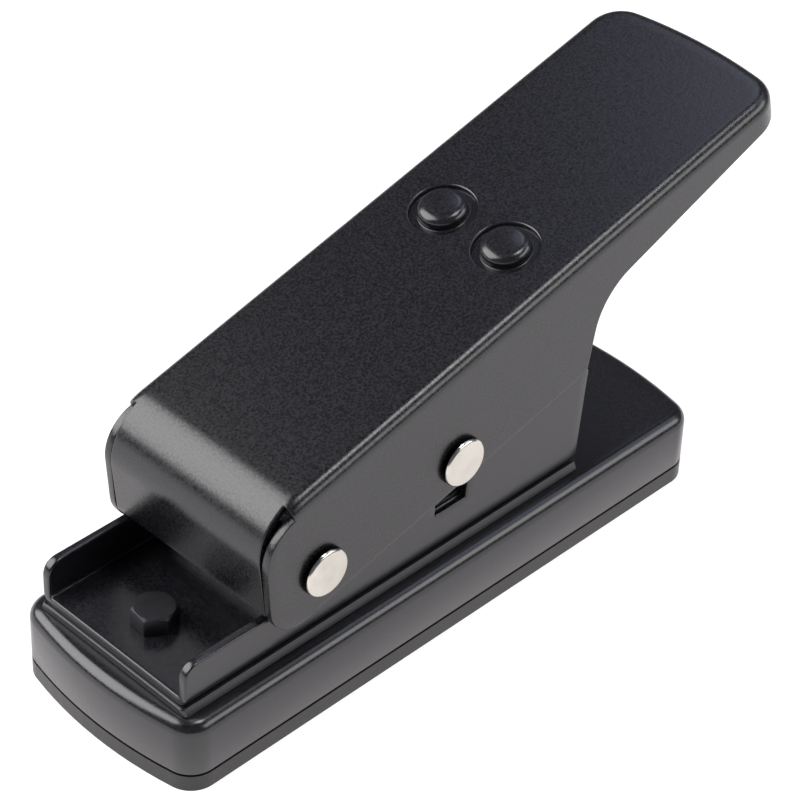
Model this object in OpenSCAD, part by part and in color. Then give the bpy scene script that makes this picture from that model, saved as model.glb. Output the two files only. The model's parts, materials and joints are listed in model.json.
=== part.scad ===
// Guitar pick punch: a lever press that cuts picks from a strip of sheet plastic.
// Millimetres, +Z up, +X from the feed tray to the handle.
// The origin is on the table, under the middle of the whole length at rest.

/* [Base] */
// Length of the base
base_l = 123; // [116:1:146]
// Width of the base
base_w = 41.6; // [41:0.2:56]
// Height of the base, table to deck
base_h = 13.9; // [12:0.1:18]
// How far the middle of each end stands past its corners
base_bow = 2.7; // [1:0.1:6]
// Corner radius of the base in plan
base_corner_r = 5; // [4:0.1:8]
// Radius of the rounded top edge
base_edge_r = 2.3; // [1:0.1:3.4]
// Wall of the base shell
base_wall = 1.5; // [1:0.1:2]
// Height of the bottom cover's visible band
cover_h = 3.1; // [2.4:0.1:4]
// How far the bottom cover stays inside the shell's outline
cover_inset = 0; // [0:0.1:0.8]
// Shadow gap between shell and bottom cover
parting_gap = 0.3; // [0.2:0.1:0.6]
// Height of the cover's rim inside the shell
cover_rim_h = 2; // [1:0.5:3]
// Distance of the cover screws from the middle, along the base
cover_screw_x = 52.5; // [48:0.5:54]
// Distance of the cover screws from the middle, across the base
cover_screw_y = 13; // [10:0.5:14]

/* [Frame] */
// Length of the channel frame
frame_l = 89; // [87:1:98]
// Outside width of the channel frame
frame_w = 34.4; // [33:0.2:38]
// Sheet thickness of the frame
frame_t = 1.6; // [1.2:0.1:2]
// Outside bend radius under the frame
frame_bend_r = 2; // [1.8:0.1:3]
// Distance from the base's front to the frame's front
frame_setback = 4.4; // [4:0.1:10]
// Height of the tray's side flanges
flange_h = 8.4; // [6:0.1:9.5]
// Radius of the flanges' front corners
flange_r = 2.8; // [1:0.1:4.5]
// Height of the cheeks behind the pin slots
cheek_h = 26; // [25:0.2:27.5]
// Height of the cheeks' rear edge
cheek_rear_h = 19.2; // [16:0.2:25]
// How far the cheeks' cut rear corner reaches forward
cheek_cut = 10; // [4:0.5:16]
// How far the cheeks lean back at the top of their rear edge
cheek_rake = 1.6; // [0:0.1:4]
// Radius of the cheek round the pivot
cheek_eye_r = 9; // [7:0.25:9.5]
// Thickness of the bed plate under the frame
bed_t = 1.4; // [1:0.1:2]
// How far the bed plate stands out round the frame
bed_margin = 0.5; // [0.2:0.1:1]

/* [Lever] */
// Tilt of the lever at rest, and its travel
lever_tilt = 14.1; // [10:0.1:16]
// Gap between each cheek and the lever's skirt
lever_gap = 0.6; // [0.4:0.05:0.8]
// Sheet thickness of the lever
lever_t = 1.5; // [1:0.1:1.6]
// Bend radius along the lever's top edges
lever_edge_r = 2.2; // [1.6:0.1:3]
// Pivot axis to the lever's rear end
lever_rear = 114.2; // [104:0.2:130]
// Pivot axis up to the lever's top face
lever_top = 17.2; // [16.6:0.1:20]
// Pivot axis down to the skirts' lower edge
skirt_drop = 7.5; // [6.5:0.1:8]
// Radius of the skirts' lower front corners
skirt_corner_r = 6.3; // [4:0.1:7]
// Skirts' lower front corner: its centre ahead of the pivot axis
skirt_corner_u = 5.2; // [4:0.1:6]
// Pivot axis down to the nose's lower edge
nose_drop = 1.6; // [0:0.1:2.5]
// Radius of the rolled nose
nose_r = 10.3; // [8.5:0.1:11]
// Gap between the nose and each skirt
seam_gap = 0.6; // [0.4:0.1:1]
// Slope of the skirts' rear edge against the lever
neck_lean = 66; // [50:0.5:75]
// Neck corner, behind the pivot axis
neck_u = 66.4; // [64:0.1:70]
// Neck corner, above the pivot axis
neck_w = 5.9; // [4.5:0.1:7.5]
// Radius in the neck under the handle
neck_r = 12; // [8:0.5:16]
// Slope of the handle's lower edge against the lever
handle_taper = 7.3; // [3:0.1:8]
// How far the middle of the lever's end stands past its corners
lever_bow = 1.9; // [0.5:0.1:4]
// Corner radius of the lever's end
lever_corner_r = 6.5; // [3:0.1:8]

/* [Pivot and drive pin] */
// Frame front to the pivot axis
pivot_setback = 27.1; // [26:0.1:30]
// Underside of the frame up to the pivot axis
pivot_h = 14.2; // [14:0.1:15]
// Diameter of the pivot rivet
pivot_d = 6; // [4:0.1:6.4]
// Diameter of the drive pin
pin_d = 6; // [4:0.1:6.4]
// Pivot axis to the drive pin, along the lever
pin_reach = 30.9; // [29:0.1:32]
// How far the drive pin sits below the pivot axis, square to the lever
pin_drop = 2.4; // [2:0.1:3]
// Diameter of the rivet heads
head_d = 8.8; // [8:0.1:10]
// Height of the rivet heads
head_h = 1.6; // [1.4:0.1:2]
// Straight part of the rivet heads' height
head_rim_h = 1.1; // [0.4:0.1:1.2]
// Outside diameter of the sleeve on the pivot rivet
sleeve_d = 7.5; // [7:0.1:7.6]
// Outside diameter of the thin washers beside the cheeks
washer_d = 11; // [9.5:0.25:12]
// Running clearance, on the radius
run_fit = 0.05; // [0.03:0.01:0.1]
// Seat clearance of fixed pins and screws, on the radius
seat_fit = 0.02; // [0.01:0.01:0.05]
// Side play of the drive pin in the cheek slots
slot_play = 0.4; // [0.3:0.05:0.6]
// Spare length of the cheek slots below the drive pin
slot_spare = 1; // [0.1:0.1:1.4]

/* [Die set] */
// Length of the pick
pick_l = 31; // [28:0.5:32]
// Width of the pick
pick_w = 26; // [24:0.5:26.5]
// Radius of the pick's tip
tip_r = 2.6; // [1.5:0.1:4]
// Radius of the pick's shoulders
shoulder_r = 6.5; // [5:0.25:8]
// Radius of the pick's sides
side_r = 42; // [34:1:80]
// Radius of the pick's back
back_r = 26; // [20:1:60]
// Length of the die plate
die_l = 65; // [62:0.5:66]
// Thickness of the die plate
die_t = 3.4; // [2.8:0.05:3.4]
// Height of the feed slot
slot_h = 1.1; // [0.9:0.05:1.2]
// Thickness of the stripper plate
stripper_t = 2.3; // [2:0.05:2.3]
// Width of the strip guide's side rails
rail_w = 1.4; // [1:0.1:1.6]
// Length of the stop at the rear of the strip guide
stop_l = 8; // [6:0.5:9]
// Side clearance of the die set between the cheeks
die_play = 0.1; // [0.05:0.05:0.2]
// Cutting clearance round the punch
cut_fit = 0.05; // [0.03:0.01:0.08]
// Drop clearance round the pick below the die
drop_play = 1; // [0.4:0.1:1.5]
// Height of the punch's cutting face above the die at rest
punch_lift = 2.2; // [1.6:0.1:2.6]
// Height of the punch
punch_h = 16.4; // [16:0.1:17]
// Length of the punch head
head_l = 35; // [33:0.5:36]
// Thickness of the punch head
head_t = 3; // [2:0.1:3.4]
// Diameter of the guide posts
post_d = 4; // [3:0.1:4.4]
// Guide posts: distance ahead of the pick's middle
post_dx = 15.2; // [14:0.1:16]
// Guide posts: distance from the sides of the die set
post_inset = 4.5; // [3.5:0.1:6]

/* [Springs] */
// Wire of the return springs
wire_d = 1; // [0.7:0.1:1.2]
// Mean diameter of the coils
coil_d = 6.6; // [5.6:0.1:7]
// Turns of each spring
coil_turns = 10; // [7:1:12]
// Distance of the springs' axes from the sides of the die set
spring_inset = 8.3; // [7:0.1:9]
// Gap between the punch head and the springs
spring_gap = 1.3; // [0.5:0.1:2.5]
// Diameter of the buttons where they leave the lever's top
button_d = 12.2; // [11.8:0.1:13]
// Diameter of the buttons' flat tops
button_top_d = 7.4; // [6:0.1:9]
// Height of the buttons
button_h = 1.8; // [1.6:0.1:2.4]
// Height of the pegs that hold the springs' lower ends
peg_h = 4; // [2:0.5:8]

/* [Fasteners] */
// Thread of the frame bolt
bolt_d = 4; // [3:0.5:5]
// Hexagon of the frame bolt, across flats
bolt_af = 7; // [6:0.5:9]
// Height of the frame bolt's head
bolt_head_h = 3.4; // [2:0.1:3.4]
// Frame front to the frame bolt
bolt_setback = 8.8; // [7:0.1:10]
// Thread of the die and punch screws
screw_d = 3; // [2:0.1:3]
// Head diameter of the die and punch screws
screw_head_d = 5.5; // [4.5:0.1:5.6]
// Length of the punch screws
punch_screw_l = 10; // [8:0.5:11]
// Thread of the cover screws
tapper_d = 2.6; // [2:0.1:3]
// Head diameter of the cover screws
tapper_head_d = 5; // [4.5:0.1:5.6]
// Head height of the cover screws
tapper_head_h = 1.2; // [0.8:0.1:1.4]

/* [Hidden] */
$fn = 64;

// Angle steps of the base's rounded top edge, of corners and of slow bowed sides
edge_step = 22.5;
corner_step = 7.5;
bow_step = 2;
// Fineness of the flat domes on the rivet heads
dome_fn = 200;
// A margin by which cuts run past the faces they open
past = 1;

// The lever's rear end at rest, from the middle of the base, and the base's place under the origin
lip_low_w = neck_w + (lever_rear - neck_u) * tan(handle_taper);
pivot_dx = frame_setback + pivot_setback - base_l / 2;
lever_end_dx = pivot_dx + lever_rear * cos(lever_tilt) - lip_low_w * sin(lever_tilt);
base_x = (base_l / 2 - lever_end_dx) / 2;

// Base levels and places
shell_z = cover_h + parting_gap;
deck_z = base_h - base_wall;
bow_r = (base_w * base_w / 4 + base_bow * base_bow) / (2 * base_bow);
boss_wall = 1.7;
boss_d = tapper_d + 2 * boss_wall;
rim_play = 0.15;
rim_t = 1.2;
land_inset = 1;
slice_h = base_edge_r / 10;

// Frame levels and places
frame_x = base_x - base_l / 2 + frame_setback;
frame_rear_x = frame_x + frame_l;
frame_z = base_h + bed_t;
floor_z = frame_z + frame_t;
channel_w = frame_w - 2 * frame_t;
pivot_x = base_x + pivot_dx;
pivot_z = frame_z + pivot_h;
bolt_x = frame_x + bolt_setback;

// Lever places at rest: a point u along the lever and w square to it, from the pivot axis
function lever_x(u, w) = pivot_x + u * cos(lever_tilt) - w * sin(lever_tilt);
function lever_z(u, w) = pivot_z + u * sin(lever_tilt) + w * cos(lever_tilt);
lever_w = frame_w + 2 * (lever_gap + lever_t);
lever_bow_r = (lever_w * lever_w / 4 + lever_bow * lever_bow) / (2 * lever_bow);
lever_in = lever_w / 2 - lever_t;
heel_r = 1.6;

// Thin washers fill the space between cheeks and skirts, less a little play
washer_off = 0.05;
washer_t = lever_gap - 2 * washer_off;

// The drive pin at rest, with the lever level, and at its foremost and rearmost
pin_rest_x = lever_x(pin_reach, -pin_drop);
pin_rest_z = lever_z(pin_reach, -pin_drop);
pin_low_x = pivot_x + pin_reach;
pin_low_z = pivot_z - pin_drop;
pin_far_x = pivot_x + norm([pin_reach, pin_drop]);
pin_near_x = min(pin_rest_x, pin_low_x);
pin_mid_x = (pin_near_x + pin_far_x) / 2;
pin_sweep = pin_far_x - pin_near_x;
slot_w = pin_d + pin_sweep + 2 * slot_play;
slot_low_z = pin_low_z - pin_d / 2 - slot_spare;
slot_top_z = pin_rest_z + pin_d / 2 + slot_play;

// Die set levels and places
pick_x = pin_mid_x;
die_rear_gap = 0.8;
die_x = frame_rear_x - die_rear_gap - die_l;
die_w = channel_w - 2 * die_play;
die_top_z = floor_z + die_t;
stripper_z = die_top_z + slot_h;
stripper_top_z = stripper_z + stripper_t;
punch_z = die_top_z + punch_lift;
punch_top_z = punch_z + punch_h;
post_x = pick_x - post_dx;
post_y = die_w / 2 - post_inset;
post_over = 1.2;
post_top_z = punch_top_z + head_t + post_over;
post_margin = 1.6;
punch_head_x = post_x - post_d / 2 - post_margin;
stop_x = die_x + die_l - stop_l;
screw_margin = 0.35;
die_screw_x = die_x + die_l - screw_head_d / 2 - screw_margin;
die_screw_y = die_w / 2 - screw_head_d / 2 - screw_margin;
punch_screw_dx = 8.6;
punch_hole_h = punch_screw_l - head_t + past;
window_r = 4;

// Nuts, washers and driver recesses
thread_end = 0.5;
head_sink = 0.1;
recess_h = 0.6;
bolt_chamfer = 0.3;
chamfer_slope = 2;
nut_af = bolt_af;
nut_h = 3.2;
bolt_washer_d = 9;
bolt_washer_t = 0.8;
die_nut_af = 5.5;
die_nut_h = 2.4;

// Springs behind the punch head, and their buttons on the lever
spring_x = punch_head_x + head_l + spring_gap + (coil_d + wire_d) / 2;
spring_y = die_w / 2 - spring_inset;
button_u = (spring_x - pivot_x + (lever_top - lever_t) * sin(lever_tilt)) / cos(lever_tilt);
pocket_play = 0.6;
pocket_d = coil_d + wire_d + 2 * pocket_play;
pocket_skin = 0.3;
pocket_h = button_h - pocket_skin;
peg_play = 0.2;
peg_d = coil_d - wire_d - 2 * peg_play;
peg_tip = 0.6;
spring_low_z = stripper_top_z;
spring_top_z = lever_z(button_u, lever_top - lever_t + pocket_h);
spring_end_gap = 0.15;
rings_per_turn = 8;
wire_sides = 6;

// Outlines from corner circles [x, y, radius], anticlockwise, with straight or bowed sides
function flat(c) = [c[0], c[1]];
function unit(v) = v / norm(v);
function heading(a, b) = unit(flat(b) - flat(a));
function arc_centre(a, b, r) =
    let (
        d = norm(flat(b) - flat(a)),
        u = heading(a, b),
        ra = r - a[2],
        rb = r - b[2],
        s = (ra * ra - rb * rb + d * d) / (2 * d)
    ) flat(a) + u * s + [-u[1], u[0]] * sqrt(ra * ra - s * s);
function line_normal(a, b) =
    let (u = heading(a, b), k = (a[2] - b[2]) / norm(flat(b) - flat(a)))
    u * k + [u[1], -u[0]] * sqrt(1 - k * k);
function side_normal(c, a, b, r) = r > 0 ? unit(flat(c) - arc_centre(a, b, r)) : line_normal(a, b);
function turn(v) = atan2(v[1], v[0]);
function arc_points(c, r, from, to, step) =
    let (sweep = (to - from + 720) % 360, n = max(1, ceil(sweep / step)))
    [for (i = [0:n]) c + r * [cos(from + sweep * i / n), sin(from + sweep * i / n)]];
function inner_points(p) = [for (i = [1:1:len(p) - 2]) p[i]];

// Round corner i of an outline, then the bowed side that follows it
function corner_points(corners, sides, i, grow) =
    let (
        n = len(corners),
        p = corners[(i + n - 1) % n],
        c = corners[i],
        from = turn(side_normal(c, p, c, sides[(i + n - 1) % n])),
        to = turn(side_normal(c, c, corners[(i + 1) % n], sides[i]))
    ) arc_points(flat(c), c[2] + grow, from, to, corner_step);
function side_points(a, b, r, grow) =
    let (c = arc_centre(a, b, r))
    inner_points(arc_points(c, r + grow, turn(flat(a) - c), turn(flat(b) - c), bow_step));

// Smooth outline round the corner circles, each side straight (0) or an arc of the given radius
module outline(corners, sides, grow = 0) {
    n = len(corners);
    polygon([
        for (i = [0:n - 1])
            each concat(
                corner_points(corners, sides, i, grow),
                sides[i] > 0 ? side_points(corners[i], corners[(i + 1) % n], sides[i], grow) : []
            )
    ]);
}

// Base outline in plan
module base_outline(grow = 0) {
    yc = base_w / 2 - base_corner_r;
    span = bow_r - base_corner_r;
    xc = base_l / 2 - bow_r + sqrt(span * span - yc * yc);
    r = base_corner_r;
    translate([base_x, 0])
        outline([[-xc, -yc, r], [xc, -yc, r], [xc, yc, r], [-xc, yc, r]], [0, bow_r, 0, bow_r], grow);
}

// Pick outline in plan, tip to the front
module pick_outline(grow = 0) {
    yc = pick_w / 2 - shoulder_r;
    span = back_r - shoulder_r;
    xc = pick_l / 2 - back_r + sqrt(span * span - yc * yc);
    tip = [-pick_l / 2 + tip_r, 0, tip_r];
    translate([pick_x, 0])
        outline([tip, [xc, -yc, shoulder_r], [xc, yc, shoulder_r]], [side_r, back_r, side_r], grow);
}

// Lever outline in plan: square at the front, bowed at the rear
module lever_plan(grow = 0) {
    r = lever_corner_r;
    yc = lever_w / 2 - r;
    span = lever_bow_r - r;
    xc = lever_rear - lever_bow_r + sqrt(span * span - yc * yc);
    front = -2 * nose_r;
    outline([[front, -yc, r], [xc, -yc, r], [xc, yc, r], [front, yc, r]], [0, lever_bow_r, 0, 0], grow);
}

// Corner circles of the lever seen from the side, and the lean of its flat nose
nose_corner = [0, lever_top - nose_r, nose_r];
chin_corner = [-skirt_corner_u, skirt_corner_r - skirt_drop, skirt_corner_r];
nose_normal = line_normal(nose_corner, chin_corner);

// Side view of the whole lever: nose, chin, heel, neck, handle
module lever_side() {
    corner = [neck_u, neck_w];
    back = lever_rear + past;
    down = [-cos(neck_lean), -sin(neck_lean)];
    half = (neck_lean - handle_taper) / 2;
    into = unit(down + [cos(handle_taper), sin(handle_taper)]);
    heel_u = neck_u - (neck_w + skirt_drop) / tan(neck_lean) - heel_r * tan(neck_lean / 2);
    neck_arc = arc_points(
        corner + into * neck_r / cos(half), neck_r, handle_taper + 90, neck_lean + 90, corner_step);
    polygon(concat(
        arc_points(flat(chin_corner), skirt_corner_r, turn(nose_normal), 270, corner_step),
        arc_points([heel_u, heel_r - skirt_drop], heel_r, 270, neck_lean + 270, corner_step),
        [for (i = [len(neck_arc) - 1:-1:0]) neck_arc[i]],
        [[back, neck_w + (back - neck_u) * tan(handle_taper)], [back, lever_top]],
        arc_points(flat(nose_corner), nose_r, 90, turn(nose_normal), corner_step)
    ));
}

// Side view of the space inside the lever, open below
module lever_hollow_side() {
    reach = nose_normal * flat(chin_corner) + skirt_corner_r - lever_t;
    polygon(concat(
        [[-2 * nose_r, -lever_rear], [2 * lever_rear, -lever_rear], [2 * lever_rear, lever_top - lever_t]],
        arc_points(flat(nose_corner), nose_r - lever_t, 90, turn(nose_normal), corner_step),
        [[(reach + nose_normal[1] * nose_drop) / nose_normal[0], -nose_drop], [-2 * nose_r, -nose_drop]]
    ));
}

// Cross section of the lever's outside, with rounded top edges
module lever_section() {
    r = lever_edge_r;
    yc = lever_w / 2 - r;
    low = -lever_rear;
    high = lever_top - r;
    outline([[-yc, low, r], [yc, low, r], [yc, high, r], [-yc, high, r]], [0, 0, 0, 0]);
}

// Cross section of the frame's outside, with rounded lower edges
module frame_section() {
    r = frame_bend_r;
    translate([-frame_w / 2, frame_z + r])
        square([frame_w, cheek_h]);
    translate([-frame_w / 2 + r, frame_z])
        square([frame_w - 2 * r, cheek_h]);
    for (s = [-1, 1])
        translate([s * (frame_w / 2 - r), frame_z + r])
            circle(r);
}

// Side view of the frame: low flanges at the tray, full cheeks from the pivot back
module frame_side() {
    translate([frame_x, frame_z])
        square([pivot_setback, flange_h - flange_r]);
    translate([frame_x + flange_r, frame_z])
        square([pivot_setback - flange_r, flange_h]);
    translate([frame_x + flange_r, frame_z + flange_h - flange_r])
        circle(flange_r);
    translate([pivot_x, pivot_z])
        circle(cheek_eye_r);
    polygon([
        [pivot_x - cheek_eye_r, frame_z],
        [frame_rear_x, frame_z],
        [frame_rear_x + cheek_rake, frame_z + cheek_rear_h],
        [frame_rear_x - cheek_cut, frame_z + cheek_h],
        [pivot_x, pivot_z + cheek_eye_r],
        [pivot_x - cheek_eye_r, pivot_z]
    ]);
}

// Lays a side view drawn in X and Z across the part, of the given width
module across(w) {
    rotate([90, 0, 0])
        linear_extrude(w, center = true)
            children();
}

// Carries a cross section drawn in Y and Z along the part
module along_x(from, to) {
    translate([from, 0, 0])
        rotate([90, 0, 90])
            linear_extrude(to - from)
                children();
}

// Places what is drawn from the pivot axis on the lever at rest
module on_lever() {
    translate([pivot_x, 0, pivot_z])
        rotate([0, -lever_tilt, 0])
            children();
}

// A round bar across the part
module cross_bar(d, w) {
    rotate([90, 0, 0])
        cylinder(d = d, h = w, center = true);
}

// A flat plate with its front edge at x
module plate(x, l, w, z, t) {
    translate([x, -w / 2, z])
        cube([l, w, t]);
}

// Pick-shaped shaft or hole
module pick_block(z, h, grow = 0) {
    translate([0, 0, z])
        linear_extrude(h)
            pick_outline(grow);
}

// Rounded window under the die that lets the picks drop through a plate
module drop_window(z, h, play) {
    xc = pick_l / 2 + play - window_r;
    yc = pick_w / 2 + play - window_r;
    r = window_r;
    translate([pick_x, 0, z])
        linear_extrude(h)
            outline([[-xc, -yc, r], [xc, -yc, r], [xc, yc, r], [-xc, yc, r]], [0, 0, 0, 0]);
}

// Solid of revolution of one rivet head, standing on z = 0
module rivet_head() {
    cap = head_h - head_rim_h;
    cap_r = (head_d * head_d / 4 + cap * cap) / (2 * cap);
    rotate_extrude()
        intersection() {
            translate([0, head_h - cap_r])
                circle(cap_r, $fn = dome_fn);
            square([head_d / 2, head_h]);
        }
}

// Rivet across the part, with a head past each end of its grip
module rivet(d, grip) {
    cross_bar(d, grip + past);
    for (s = [-1, 1])
        translate([0, s * grip / 2, 0])
            rotate([-s * 90, 0, 0])
                rivet_head();
}

// Pair of thin washers, one beside each cheek
module cheek_washers(hole_d, t) {
    for (s = [-1, 1])
        translate([0, s * (frame_w / 2 + washer_off + t / 2), 0])
            difference() {
                cross_bar(washer_d, t);
                cross_bar(hole_d, t + 2 * past);
            }
}

// Hexagon prism standing on z = 0
module hexagon(af, h) {
    cylinder(d = af / cos(30), h = h, $fn = 6);
}

// Nut with a plain bore
module nut(af, h, bore_d) {
    difference() {
        hexagon(af, h);
        translate([0, 0, -past])
            cylinder(d = bore_d, h = h + 2 * past);
    }
}

// Countersunk screw with its flat head at z = 0 and its shank below
module flat_screw(l) {
    cone_h = (screw_head_d - screw_d) / 2;
    difference() {
        union() {
            translate([0, 0, -cone_h])
                cylinder(d1 = screw_d, d2 = screw_head_d, h = cone_h);
            translate([0, 0, -l])
                cylinder(d = screw_d, h = l - cone_h / 2);
        }
        cross_recess(screw_head_d / 2, recess_h);
    }
}

// Hole for a countersunk screw
module flat_screw_hole(l) {
    cone_h = (screw_head_d - screw_d) / 2;
    d = screw_d + 2 * seat_fit;
    translate([0, 0, -cone_h])
        cylinder(d1 = d, d2 = screw_head_d + 2 * seat_fit, h = cone_h + seat_fit);
    translate([0, 0, -l])
        cylinder(d = d, h = l);
}

// Cross-shaped driver recess in a head whose top is at z = 0
module cross_recess(w, depth) {
    for (a = [0, 90])
        rotate(a)
            translate([-w / 2, -w / 8, -depth])
                cube([w, w / 4, depth + past]);
}

// Places for the four cover screws
module at_cover_screws() {
    for (sx = [-1, 1], sy = [-1, 1])
        translate([base_x + sx * cover_screw_x, sy * cover_screw_y, 0])
            children();
}

// Places for the two die screws
module at_die_screws() {
    for (s = [-1, 1])
        translate([die_screw_x, s * die_screw_y, 0])
            children();
}

// Shanks that pass down through the stack from the frame to the deck
module stack_holes() {
    translate([bolt_x, 0, 0])
        cylinder(d = bolt_d + 2 * run_fit, h = floor_z + past);
    at_die_screws()
        cylinder(d = screw_d + 2 * seat_fit, h = floor_z + past);
}

// Pressed shell with a rounded top edge, open below
module base_shell() {
    color("#2a2a2e")
        difference() {
            union() {
                difference() {
                    hull() {
                        translate([0, 0, shell_z])
                            linear_extrude(slice_h)
                                base_outline();
                        for (a = [0:edge_step:90])
                            translate([0, 0, base_h - slice_h - base_edge_r * (1 - sin(a))])
                                linear_extrude(slice_h)
                                    base_outline(-base_edge_r * (1 - cos(a)));
                    }
                    translate([0, 0, shell_z - past])
                        linear_extrude(deck_z - shell_z + past)
                            base_outline(-base_wall);
                }
                at_cover_screws()
                    translate([0, 0, shell_z])
                        cylinder(d = boss_d, h = deck_z - shell_z + base_wall / 2);
            }
            at_cover_screws()
                translate([0, 0, shell_z - past])
                    cylinder(d = tapper_d + 2 * seat_fit, h = deck_z - shell_z - past);
            stack_holes();
            drop_window(deck_z - past, base_wall + 2 * past, drop_play);
        }
}

// Moulded bottom cover with a rim inside the shell and a window that lets the picks drop
module bottom_cover() {
    rim = base_wall + rim_play;
    color("#242426")
        difference() {
            union() {
                linear_extrude(cover_h)
                    base_outline(-cover_inset);
                linear_extrude(shell_z)
                    base_outline(-land_inset);
                difference() {
                    linear_extrude(shell_z + cover_rim_h)
                        base_outline(-rim);
                    translate([0, 0, shell_z])
                        linear_extrude(cover_rim_h + past)
                            base_outline(-rim - rim_t);
                }
            }
            drop_window(-past, shell_z + 2 * past, 2 * drop_play);
            at_cover_screws() {
                translate([0, 0, -past])
                    cylinder(d = tapper_d + 2 * run_fit, h = shell_z + 2 * past);
                translate([0, 0, -past])
                    cylinder(d = tapper_head_d + 2 * slot_play, h = tapper_head_h + head_sink + past);
            }
        }
}

// Four self-tapping screws that hold the bottom cover
module cover_screws() {
    seat_z = tapper_head_h + head_sink;
    color("#3a3a3c")
        at_cover_screws()
            difference() {
                union() {
                    translate([0, 0, head_sink])
                        cylinder(d = tapper_head_d, h = tapper_head_h);
                    translate([0, 0, seat_z - past / 2])
                        cylinder(d = tapper_d, h = deck_z - seat_z - 2 * past);
                }
                mirror([0, 0, 1])
                    translate([0, 0, -head_sink])
                        cross_recess(tapper_head_d / 2, recess_h);
            }
}

// Flat plate between the frame and the deck
module bed_plate() {
    color("#303034")
        difference() {
            plate(frame_x - bed_margin, frame_l + 2 * bed_margin, frame_w + 2 * bed_margin, base_h, bed_t);
            stack_holes();
            drop_window(base_h - past, bed_t + 2 * past, drop_play);
        }
}

// Channel frame: feed tray in front, cheeks with the pivot holes and pin slots
module frame() {
    color("#28282c")
        difference() {
            intersection() {
                across(frame_w + 2 * past)
                    frame_side();
                along_x(frame_x - past, frame_rear_x + cheek_rake + past)
                    frame_section();
            }
            translate([frame_x - past, -channel_w / 2, floor_z])
                cube([frame_l + cheek_rake + 2 * past, channel_w, cheek_h]);
            translate([pivot_x, 0, pivot_z])
                cross_bar(pivot_d + 2 * seat_fit, frame_w + 2 * past);
            translate([pin_mid_x - slot_w / 2, -frame_w, slot_low_z])
                cube([slot_w, 2 * frame_w, slot_top_z - slot_low_z]);
            stack_holes();
            drop_window(frame_z - past, frame_t + 2 * past, drop_play);
        }
}

// Hexagon bolt that clamps the frame's front to the base
module frame_bolt() {
    top_d = bolt_af - 2 * bolt_chamfer;
    tail = floor_z - deck_z + bolt_washer_t + nut_h + thread_end;
    color("#202022")
        translate([bolt_x, 0, floor_z]) {
            intersection() {
                hexagon(bolt_af, bolt_head_h);
                cylinder(d1 = top_d + 2 * chamfer_slope * bolt_head_h, d2 = top_d, h = bolt_head_h);
            }
            translate([0, 0, -tail])
                cylinder(d = bolt_d, h = tail + bolt_head_h / 2);
        }
}

// Washer under the deck for the frame bolt
module frame_bolt_washer() {
    color("silver")
        translate([bolt_x, 0, deck_z - bolt_washer_t])
            difference() {
                cylinder(d = bolt_washer_d, h = bolt_washer_t);
                translate([0, 0, -past])
                    cylinder(d = bolt_d + 2 * run_fit, h = bolt_washer_t + 2 * past);
            }
}

// Nut under the deck for the frame bolt
module frame_bolt_nut() {
    color("silver")
        translate([bolt_x, 0, deck_z - bolt_washer_t - nut_h])
            nut(nut_af, nut_h, bolt_d + 2 * seat_fit);
}

// Hardened die with the pick-shaped cutting hole
module die_plate() {
    color("#8c8c90")
        difference() {
            plate(die_x, die_l, die_w, floor_z, die_t);
            pick_block(floor_z - past, die_t + 2 * past, cut_fit);
            at_die_screws()
                translate([0, 0, floor_z - past])
                    cylinder(d = screw_d + 2 * seat_fit, h = die_t + 2 * past);
        }
}

// Thin guide that keeps the feed slot open: a rail at each side and a stop behind
module strip_guide() {
    color("#9a9a9e")
        difference() {
            plate(die_x, die_l, die_w, die_top_z, slot_h);
            translate([die_x - past, -die_w / 2 + rail_w, die_top_z - past])
                cube([stop_x - die_x + past, die_w - 2 * rail_w, slot_h + 2 * past]);
            at_die_screws()
                translate([0, 0, die_top_z - past])
                    cylinder(d = screw_d + 2 * seat_fit, h = slot_h + 2 * past);
        }
}

// Plate that strips the plastic off the punch, guides it and carries the springs
module stripper_plate() {
    color("#84848a")
        difference() {
            plate(die_x, die_l, die_w, stripper_z, stripper_t);
            pick_block(stripper_z - past, stripper_t + 2 * past, cut_fit);
            for (s = [-1, 1])
                translate([post_x, s * post_y, stripper_z - past])
                    cylinder(d = post_d + 2 * seat_fit, h = stripper_t + 2 * past);
            at_die_screws()
                translate([0, 0, stripper_top_z])
                    flat_screw_hole(stripper_t + past);
        }
}

// Two posts that guide the punch head
module guide_posts() {
    color("gainsboro")
        for (s = [-1, 1])
            translate([post_x, s * post_y, stripper_z])
                cylinder(d = post_d, h = post_top_z - stripper_z);
}

// Two screws that clamp the die set, the frame and the bed plate to the deck
module die_screws() {
    color("#505054")
        at_die_screws()
            translate([0, 0, stripper_top_z])
                flat_screw(stripper_top_z - deck_z + die_nut_h + thread_end);
}

// Nuts of the die screws, under the deck
module die_nuts() {
    color("silver")
        at_die_screws()
            translate([0, 0, deck_z - die_nut_h])
                nut(die_nut_af, die_nut_h, screw_d + 2 * seat_fit);
}

// Pegs that hold the springs' lower ends
module spring_pegs() {
    color("#b0b0b4")
        for (s = [-1, 1])
            translate([spring_x, s * spring_y, stripper_top_z]) {
                cylinder(d = peg_d, h = peg_h - peg_tip);
                translate([0, 0, peg_h - peg_tip])
                    cylinder(d1 = peg_d, d2 = peg_d - 2 * peg_tip, h = peg_tip);
            }
}

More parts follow.
